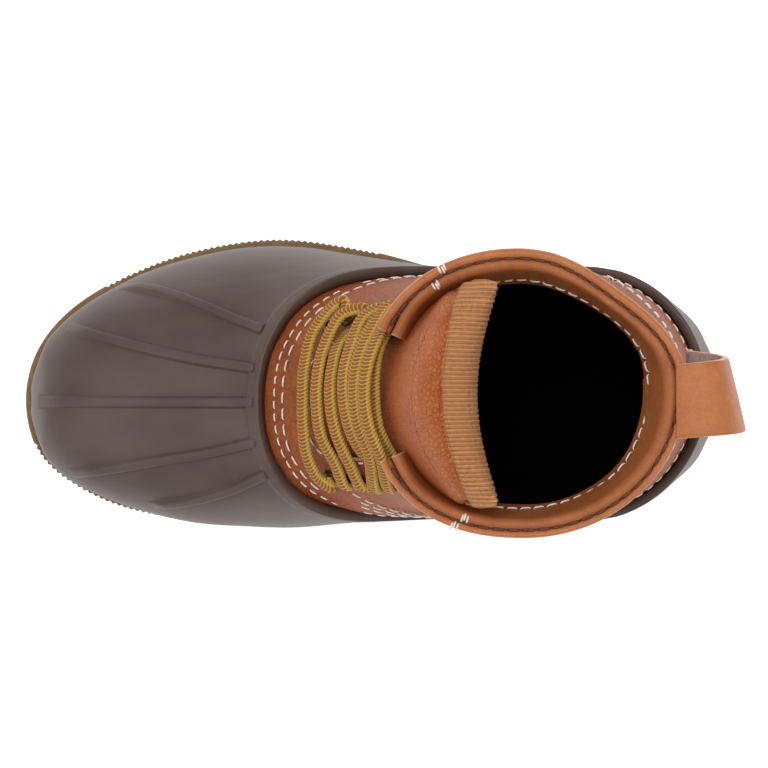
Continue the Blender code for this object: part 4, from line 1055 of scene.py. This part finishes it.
def wall_line(u, distance, from_rim):
    """Points and normals on the leather at a distance from the rim or from the upper edge."""
    share, length = share_at(top_line, low_line, np.abs(u), np.array([distance]), from_rim)
    row, loop = between(top_line, low_line, np.abs(u), share[:, 0])
    loop = loop * np.where(u < 0, -1, 1)
    above_rim = np.full(len(u), distance) if from_rim else length - distance
    return on_last(row, loop, quarter_swell(above_rim, u)), last_normal(row, loop)


# Rows of white thread: name, places along the wall, distance from an edge, whether that edge is the rim,
# pitch and slant
ROWS = (
    ("vamp_outer", (-0.24, 0.24), 2.9, True, 3.3, 0.0),
    ("vamp_inner", (-0.2, 0.2), 5.7, True, 4.3, 0.0),
    ("medial_low", (0.27, 0.62), 3.4, True, 3.9, 0.1),
    ("medial_second", (0.25, 0.5), 8.4, True, 3.9, 0.1),
    ("medial_third", (0.24, 0.5), 12.0, True, 3.9, 0.1),
    ("medial_fourth", (0.22, 0.48), 15.0, True, 3.9, 0.1),
    ("medial_eyestay", (0.03, 0.27), 2.4, False, 3.6, 0.0),
    ("lateral_eyestay", (-0.27, -0.03), 2.4, False, 3.6, 0.0),
    ("lateral_low", (-0.62, -0.27), 2.6, True, 3.9, -0.1),
    ("lateral_second", (-0.45, -0.22), 6.0, True, 3.9, -0.1),
    ("heel_lateral_low", (-0.985, -0.66), 3.6, True, 3.5, 0.0),
    ("heel_medial_low", (0.66, 0.985), 3.6, True, 3.5, 0.0),
    ("heel_lateral_high", (-0.95, -0.72), 27.0, True, 3.2, 0.0),
    ("heel_lateral_higher", (-0.95, -0.72), 28.6, True, 3.2, 0.0),
    ("heel_medial_high", (0.72, 0.95), 27.0, True, 3.2, 0.0),
)
for name, (start, end), distance, from_rim, pitch, slant in ROWS:
    path, normals = wall_line(np.linspace(start, end, 160), distance, from_rim)
    stitches = stitch_row("stitches_" + name, path, normals, white_thread, pitch, pitch * 0.74, 0.25, 0.16,
                          slant)

seam_run = np.linspace(2.0, collar_run[-1] - 2.0, 500)
seam_path = collar_place(seam_run, np.full(500, -1.25), np.full(500, 0.5))
seam_up = read_at(seam_run, collar_run, collar_up)
# The seam's thick dark stitches are real thread and also painted shade of the groove they fill
stitch_row("stitches_collar_seam", seam_path, seam_up, brown_thread_and_groove_shade, 3.8, 3.45, 0.6, 0.1)
inner = np.linspace(20.0, collar_run[-1] - 20.0, 500)
inner_out, inner_up = -6.5 + 0.15 * np.sin(inner / 5.0), -9.4 + 0.9 * np.sin(inner / 6.0)
inner_path = collar_place(inner, inner_out, inner_up, widened=True)
inner_normal = -read_at(inner, collar_run, collar_out)
inner_normal[:, 2] += 0.35
stitch_row("stitches_facing", inner_path, inner_normal, white_thread, 3.4, 2.9, 0.26, 0.15, slant=0.12)

# Bar tacks where the collar meets the eyestay: run round the collar, or back from its end, and distance out
tacks = []
for run_at, out_at in ((22.0, 0.2), (18.6, -2.7), (-25.0, 0.2), (-27.0, -2.5)):
    run = run_at % collar_run[-1] + np.array([-0.75, 0.1, 0.7])
    tacks.extend(collar_place(run, out_at + np.array([0.1, -0.25, 0.2]), np.full(3, 1.2)))
for number, place in enumerate(tacks):
    k = int(np.argmin(np.linalg.norm(collar_path - place, axis=1)))
    path = place + collar_out[k] * np.linspace(-1.0, 1.0, 5)[:, None]
    normals = np.repeat(collar_up[k:k + 1], 5, axis=0)
    stitch_row(f"bar_tack_{number + 1}", path, normals, white_thread, 2.0, 2.0, 0.27, 0.3)

# %% [markdown]
# ## The padded tongue
# A crescent in plan, padded most above the collar, with a seam near its crest and a band of ribbed knit
# behind the seam. It is shaped from listed sizes in place of a cloth simulation.

# %% Tongue
TONGUE_COLUMNS = ("x", "z", "thick", "half", "bend", "y")
TONGUE = np.array([
    (121.0, 48.9, 0.8, 12.0, 2.2, 5.0), (116.0, 52.2, 1.3, 16.0, 4.4, 5.0),
    (108.0, 58.2, 1.6, 19.0, 6.0, 5.0), (101.4, 66.0, 2.0, 20.4, 7.4, 4.6),
    (95.4, 76.6, 2.4, 21.2, 8.4, 4.0), (90.2, 86.6, 2.8, 22.2, 9.4, 3.4),
    (85.7, 95.6, 4.2, 24.4, 10.3, 3.0), (81.2, 103.2, 6.8, 26.8, 11.0, 2.8),
    (77.6, 109.6, 8.8, 28.2, 11.2, 2.4), (76.0, 112.4, 9.0, 28.6, 11.2, 2.4),
])
# How far the crest rises, leans back and narrows past the last row, then its seam and the knit's ribs
CREST_RISE = 8.0
CREST_BACK = 3.4
CREST_NARROWER = 2.4
SEAM_WIDTH = 0.7
KNIT_RIB_PLAN = 1.5
tongue_at = np.concatenate([np.linspace(0, 6, 70), np.linspace(6, 9, 70)[1:]])
tongue_size = {name: curve_value(np.arange(len(TONGUE)), TONGUE[:, k], tongue_at)
               for k, name in enumerate(TONGUE_COLUMNS)}
# The crest: the padding's thickness follows a quarter of an ellipse to its top
turn = np.linspace(0, math.pi / 2, 60)[1:]
last_of = {name: tongue_size[name][-1] for name in TONGUE_COLUMNS}
crest = {name: np.full(len(turn), last_of[name]) for name in TONGUE_COLUMNS}
crest["x"] = last_of["x"] - CREST_BACK * np.sin(turn)
crest["z"] = last_of["z"] + CREST_RISE * np.sin(turn)
crest["thick"] = np.maximum(last_of["thick"] * np.cos(turn), 0.02)
crest["half"] = last_of["half"] - CREST_NARROWER * (1 - np.cos(turn))
tongue_size = {name: np.concatenate([tongue_size[name], crest[name]]) for name in TONGUE_COLUMNS}
tongue_line = np.stack([tongue_size["x"], tongue_size["z"]], axis=1)
tongue_up = np.gradient(tongue_line, axis=0)
tongue_up[len(tongue_at):] = tongue_up[len(tongue_at) - 2]
tongue_up /= np.linalg.norm(tongue_up, axis=1, keepdims=True)
tongue_forward = np.stack([tongue_up[:, 1], -tongue_up[:, 0]], axis=1)
angle = np.linspace(0, 2 * math.pi, 260, endpoint=False)
across = np.cos(angle)
fullness = np.sign(np.sin(angle)) * np.abs(np.sin(angle)) ** 0.75
push = tongue_size["thick"][:, None] * fullness[None, :] - tongue_size["bend"][:, None] * across[None, :] ** 2
tongue_points = np.stack([tongue_line[:, :1] + tongue_forward[:, :1] * push,
                          tongue_size["y"][:, None] + tongue_size["half"][:, None] * across[None, :],
                          tongue_line[:, 1:] + tongue_forward[:, 1:] * push], axis=-1)
# The seam between leather and knit in plan: y across the tongue, and x
SEAM = np.array([(-28, 71.5), (-20, 74.0), (-12, 75.6), (-2, 76.6), (8, 76.4), (16, 75.0), (24, 72.4),
                 (30, 70.0)])
seam_x = np.interp(tongue_points[..., 1], SEAM[:, 0], SEAM[:, 1])
behind = seam_x - tongue_points[..., 0]
high_up = smooth_step(99.0, 104.0, tongue_points[..., 2])
normal = np.cross(np.gradient(tongue_points, axis=1), np.gradient(tongue_points, axis=0))
normal /= np.maximum(np.linalg.norm(normal, axis=-1, keepdims=True), 1e-9)
if ((tongue_points - tongue_points.mean(axis=1, keepdims=True)) * normal).sum() < 0:
    normal = -normal
# The sunk seam, the knit's ribs behind it and the padding's swell before it
relief = -0.75 * np.exp(-(behind / SEAM_WIDTH) ** 2)
rib_wave = np.sin(tongue_points[..., 1] * 2 * math.pi / KNIT_RIB_PLAN)
relief = relief + 0.16 * rib_wave * smooth_step(0.6, 1.6, behind)
relief = relief + 0.35 * np.exp(-((behind + 2.2) / 1.6) ** 2)
to_crest = np.concatenate([np.ones(len(tongue_at)), 1 - smooth_step(1.42, 1.54, turn)])
relief = relief * high_up * to_crest[:, None]
tongue_points = tongue_points + normal * relief[..., None]
points, quads, caps = zipped_tube(tongue_points)
uv = np.stack([points[:, 2] - points[:, 0] * 0.6, points[:, 1]], axis=1)
tongue = join_quads_and_triangles("padded_tongue", points, quads, caps, uv)
tongue.data.materials.append(tongue_leather)
tongue.data.materials.append(ribbed_knit)
second_material(tongue, (behind * (tongue_points[..., 2] > 100)).ravel(), 0.15)
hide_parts("tongue")

# %% [markdown]
# ## The pull loop
# A strap bent out from the collar and back to the heel, skewed a little, with a woven backing.

# %% Pull loop
LOOP_PATH = ((17.9, 111.3), (16.4, 111.9), (14.0, 112.6), (10.8, 113.2), (6.6, 111.8), (3.6, 106.8),
             (3.0, 100.4), (4.8, 94.2), (8.6, 89.9), (12.2, 86.4), (12.4, 83.2))
LOOP_WIDTH = 18.5
LOOP_Y = (4.4, 0.4)
LOOP_SKEW = 0.24
LOOP_COUNT = 120
loop_line = smooth_path(LOOP_PATH, LOOP_COUNT)
tangent = np.gradient(loop_line, axis=0)
tangent /= np.linalg.norm(tangent, axis=1, keepdims=True)
loop_normal = np.stack([tangent[:, 1], -tangent[:, 0]], axis=1)
share = np.linspace(0, 1, LOOP_COUNT)
loop_section = np.array([(-1, -0.6), (-0.97, -0.8), (-0.5, -0.85), (0, -0.86), (0.5, -0.85),
                         (0.97, -0.8), (1, -0.6), (1, 0.0), (1, 0.6), (0.975, 0.82), (0.9, 0.9),
                         (0.5, 0.92), (0, 0.93), (-0.5, 0.92), (-0.9, 0.9), (-0.975, 0.82), (-1, 0.6),
                         (-1, 0.0)])
bulge = np.sin(math.pi * share)
side, depth = loop_section[:, 0][None, :], loop_section[:, 1][None, :]
loop_x = loop_line[:, :1] + loop_normal[:, :1] * depth - side * bulge[:, None] * LOOP_SKEW * LOOP_WIDTH / 2
loop_y = (LOOP_Y[0] + (LOOP_Y[1] - LOOP_Y[0]) * share)[:, None] + side * LOOP_WIDTH / 2
loop_z = loop_line[:, 1:] + loop_normal[:, 1:] * depth - 0.5 * side ** 2 * bulge[:, None]
rings = np.stack([loop_x, loop_y, loop_z], axis=-1)
points, quads, caps, uv = capped_tube(rings)


def strap_marks(by_place, at_ends):
    """One number for each point of the strap from one for each place in its section."""
    return np.append(np.broadcast_to(by_place, (LOOP_COUNT, len(loop_section))).ravel(), [at_ends, at_ends])


cut = strap_marks(np.abs(loop_section[:, 0]) > 0.99, 0.5)
strap = join_quads_and_triangles("pull_loop_strap", points, quads, caps, uv, {"cut": cut * 0.75})
strap.data.materials.append(collar_leather)
strap.data.materials.append(suede)
# The backing is on the face that looks in toward the heel
outer_face = loop_normal[LOOP_COUNT // 2] @ np.array([-1.0, 0.0]) > 0
is_backing = loop_section[:, 1] < -0.61 if outer_face else loop_section[:, 1] > 0.61
second_material(strap, strap_marks(is_backing, 0.0), 0.5)
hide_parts("pull_loop")

# %% [markdown]
# ## Eyelets and laces
# Each pass of the lace is a flat braided cord on its own smooth route over the tongue. Its strands
# stand out of the mesh, and the pattern of the material follows them.

# %% Laces
# Rows of the last where the eyelets lie, from the lowest, and their distance from the lace opening
EYELET_ROWS = (9.75, 10.35, 11.0, 11.75, 13.0)
EYELET_INSET = 7.6


def eyelet(number, side):
    """Centre and direction of an eyelet, a fixed distance from the lace opening's edge."""
    row = EYELET_ROWS[number - 1]
    loops = np.linspace(float(throat_loop(row)[0]), 0.9, 200)
    at = side * float(np.interp(EYELET_INSET, run_along(last_point(row, side * loops)), loops))
    return last_point(row, at), last_normal(row, at)


def hole(number, side, height):
    """A place of a lace's route over (or, below zero, under) an eyelet."""
    place, direction = eyelet(number, side)
    return tuple(place + direction * height)


LATERAL, MEDIAL = -1, 1
# The route of each pass from the lateral side; 7 and 8 lie under the others
LACES = {
    1: [hole(2, LATERAL, -1.5), hole(2, LATERAL, 1.6), (101.2, -21.2, 67.4), (108.4, -15.0, 65.6),
        (111.4, -5.0, 66.6), (111.9, 4.2, 67.2), (111.7, 12.0, 67.0), (110.5, 19.6, 65.6),
        (107.6, 25.0, 64.0), (103.8, 27.4, 64.4), hole(1, MEDIAL, 1.8), hole(1, MEDIAL, -1.5)],
    2: [hole(3, LATERAL, -1.5), hole(3, LATERAL, 1.8), (100.6, -18.6, 73.4), (105.6, -11.2, 73.2),
        (107.9, -2.0, 75.2), (108.1, 6.0, 75.6), (106.8, 14.0, 74.4), (103.6, 20.2, 72.6),
        hole(2, MEDIAL, 1.8), hole(2, MEDIAL, -1.5)],
    3: [(99.6, -13.6, 71.0), (102.3, -10.4, 74.6), (104.2, -3.4, 78.2), (104.5, 4.1, 80.2),
        (102.9, 13.0, 79.6), (99.6, 20.6, 77.4), hole(3, MEDIAL, 1.9), hole(3, MEDIAL, -1.5)],
    4: [hole(4, LATERAL, -1.5), hole(4, LATERAL, 1.8), (95.6, -17.6, 81.6), (98.8, -11.0, 84.0),
        (101.0, -2.0, 87.0), (100.7, 6.0, 87.0), (98.8, 13.2, 85.0), (95.4, 18.6, 81.8),
        (92.6, 20.4, 79.2)],
    5: [hole(5, LATERAL, -1.5), hole(5, LATERAL, 1.9), (94.2, -13.2, 90.4), (97.3, -5.8, 92.6),
        (98.3, 1.6, 93.4), (97.4, 10.0, 93.0), (94.6, 17.6, 90.8), hole(4, MEDIAL, 1.9),
        hole(4, MEDIAL, -1.5)],
    6: [(90.4, -14.4, 93.2), (92.6, -10.8, 96.2), (94.9, -4.2, 98.2), (95.6, 3.6, 98.9),
        (94.4, 11.2, 98.4), (91.6, 18.2, 96.0), hole(5, MEDIAL, 1.9), hole(5, MEDIAL, -1.5)],
    7: [(93.0, -16.6, 84.8), (96.2, -11.0, 87.6), (98.6, -2.0, 90.0), (98.0, 8.0, 89.6),
        (94.8, 16.6, 86.6), (91.6, 20.4, 83.4)],
    8: [(89.6, -14.0, 92.0), (92.0, -9.0, 94.4), (93.2, 3.0, 95.6), (92.2, 11.0, 95.0),
        (88.6, 18.6, 91.6)],
}
LACE_HALF_WIDTH = 1.88
LACE_HALF_THICKNESS = 1.05
lace_total = 0.0
for number, route in LACES.items():
    route = np.array(route)
    length = run_along(route)[-1]
    lace_total += length
    path = smooth_path(route, int(length / 0.32))
    outward = path - (path - (28.0, 0.0, 26.0)) * (1, 0, 1) - (0.0, 4.5, 0.0)
    outward /= np.linalg.norm(outward, axis=1, keepdims=True)
    sideways, up = frames_along(path, outward)
    around = np.linspace(0, 2 * math.pi, 28, endpoint=False)
    distance = np.abs(np.angle(np.exp(1j * (around - math.pi / 2)))) / (math.pi / 2)
    run = run_along(path) + 5.3 * number
    phase = run[:, None] / BRAID_PITCH + distance[None, :] * BRAID_SLANT
    strand = 0.13 * (1 - 2 * np.abs((phase % 1.0) - 0.5)) ** 0.5
    flat = np.sign(np.cos(around)) * np.abs(np.cos(around)) ** 0.85
    thick = np.sign(np.sin(around)) * np.abs(np.sin(around)) ** 0.85
    a = (LACE_HALF_WIDTH - 0.1 + strand) * flat
    b = (LACE_HALF_THICKNESS - 0.1 + strand) * thick
    rings = path[:, None, :] + sideways[:, None, :] * a[..., None] + up[:, None, :] * b[..., None]
    points, quads, caps, _ = capped_tube(rings)
    uv = np.stack(np.broadcast_arrays(run[:, None], distance[None, :]), axis=-1).reshape(-1, 2)
    uv = np.concatenate([uv, np.zeros((2, 2))])
    lace = join_quads_and_triangles(f"lace_{number}", points, quads, caps, uv)
    lace.data.materials.append(lace_braid)
    if number <= 6:
        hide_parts(f"lace_pass_{number}")
print("lace shown, in millimetres:", round(lace_total, 1))

for side, word in ((LATERAL, "lateral"), (MEDIAL, "medial")):
    for number in range(1, len(EYELET_ROWS) + 1):
        for material_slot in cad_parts[f"eyelet_{word}_{number}"].material_slots:
            material_slot.material = brass

# %% [markdown]
# ## Light and floor
# A pale floor, one large soft light above and two weaker ones at the sides.

# %% Stage
floor_mesh = bpy.data.meshes.new("floor")
floor_mesh.from_pydata([(-2, -2, 0), (2, -2, 0), (2, 2, 0), (-2, 2, 0)], [], [(0, 1, 2, 3)])
floor = bpy.data.objects.new("floor", floor_mesh)
bpy.context.collection.objects.link(floor)
floor_paint, _, floor_shader = new_material("pale_floor", 0.9, 0.1)
floor_shader.inputs["Base Color"].default_value = colour("ffffff")
floor_shader.inputs["Emission Color"].default_value = colour("ffffff")
floor_shader.inputs["Emission Strength"].default_value = 0.55
floor.data.materials.append(floor_paint)


def add_light(name, place, size, power, tint="ffffff"):
    """A square area light that looks at the boot."""
    data = bpy.data.lights.new(name, "AREA")
    data.size, data.energy, data.color = size, power, colour(tint)[:3]
    ob = bpy.data.objects.new(name, data)
    ob.location = place
    aim = np.array([0.0, 0.0, 0.05]) - np.array(place)
    aim /= np.linalg.norm(aim)
    ob.rotation_euler = (math.acos(-aim[2]), 0.0, math.atan2(aim[1], aim[0]) - math.pi / 2)
    bpy.context.collection.objects.link(ob)
    return ob


add_light("top_light", (0.15, -0.35, 1.3), 0.8, 9.0)
add_light("side_light", (0.9, 0.5, 0.9), 0.8, 3.0)
add_light("heel_light", (-0.9, 0.2, 0.8), 0.8, 3.0)
world = bpy.data.worlds.new("pale_world")
bpy.context.scene.world = world
world.use_nodes = True
world.node_tree.nodes["Background"].inputs["Color"].default_value = colour("ffffff")
world.node_tree.nodes["Background"].inputs["Strength"].default_value = 0.42
bpy.context.scene.view_settings.view_transform = "Standard"
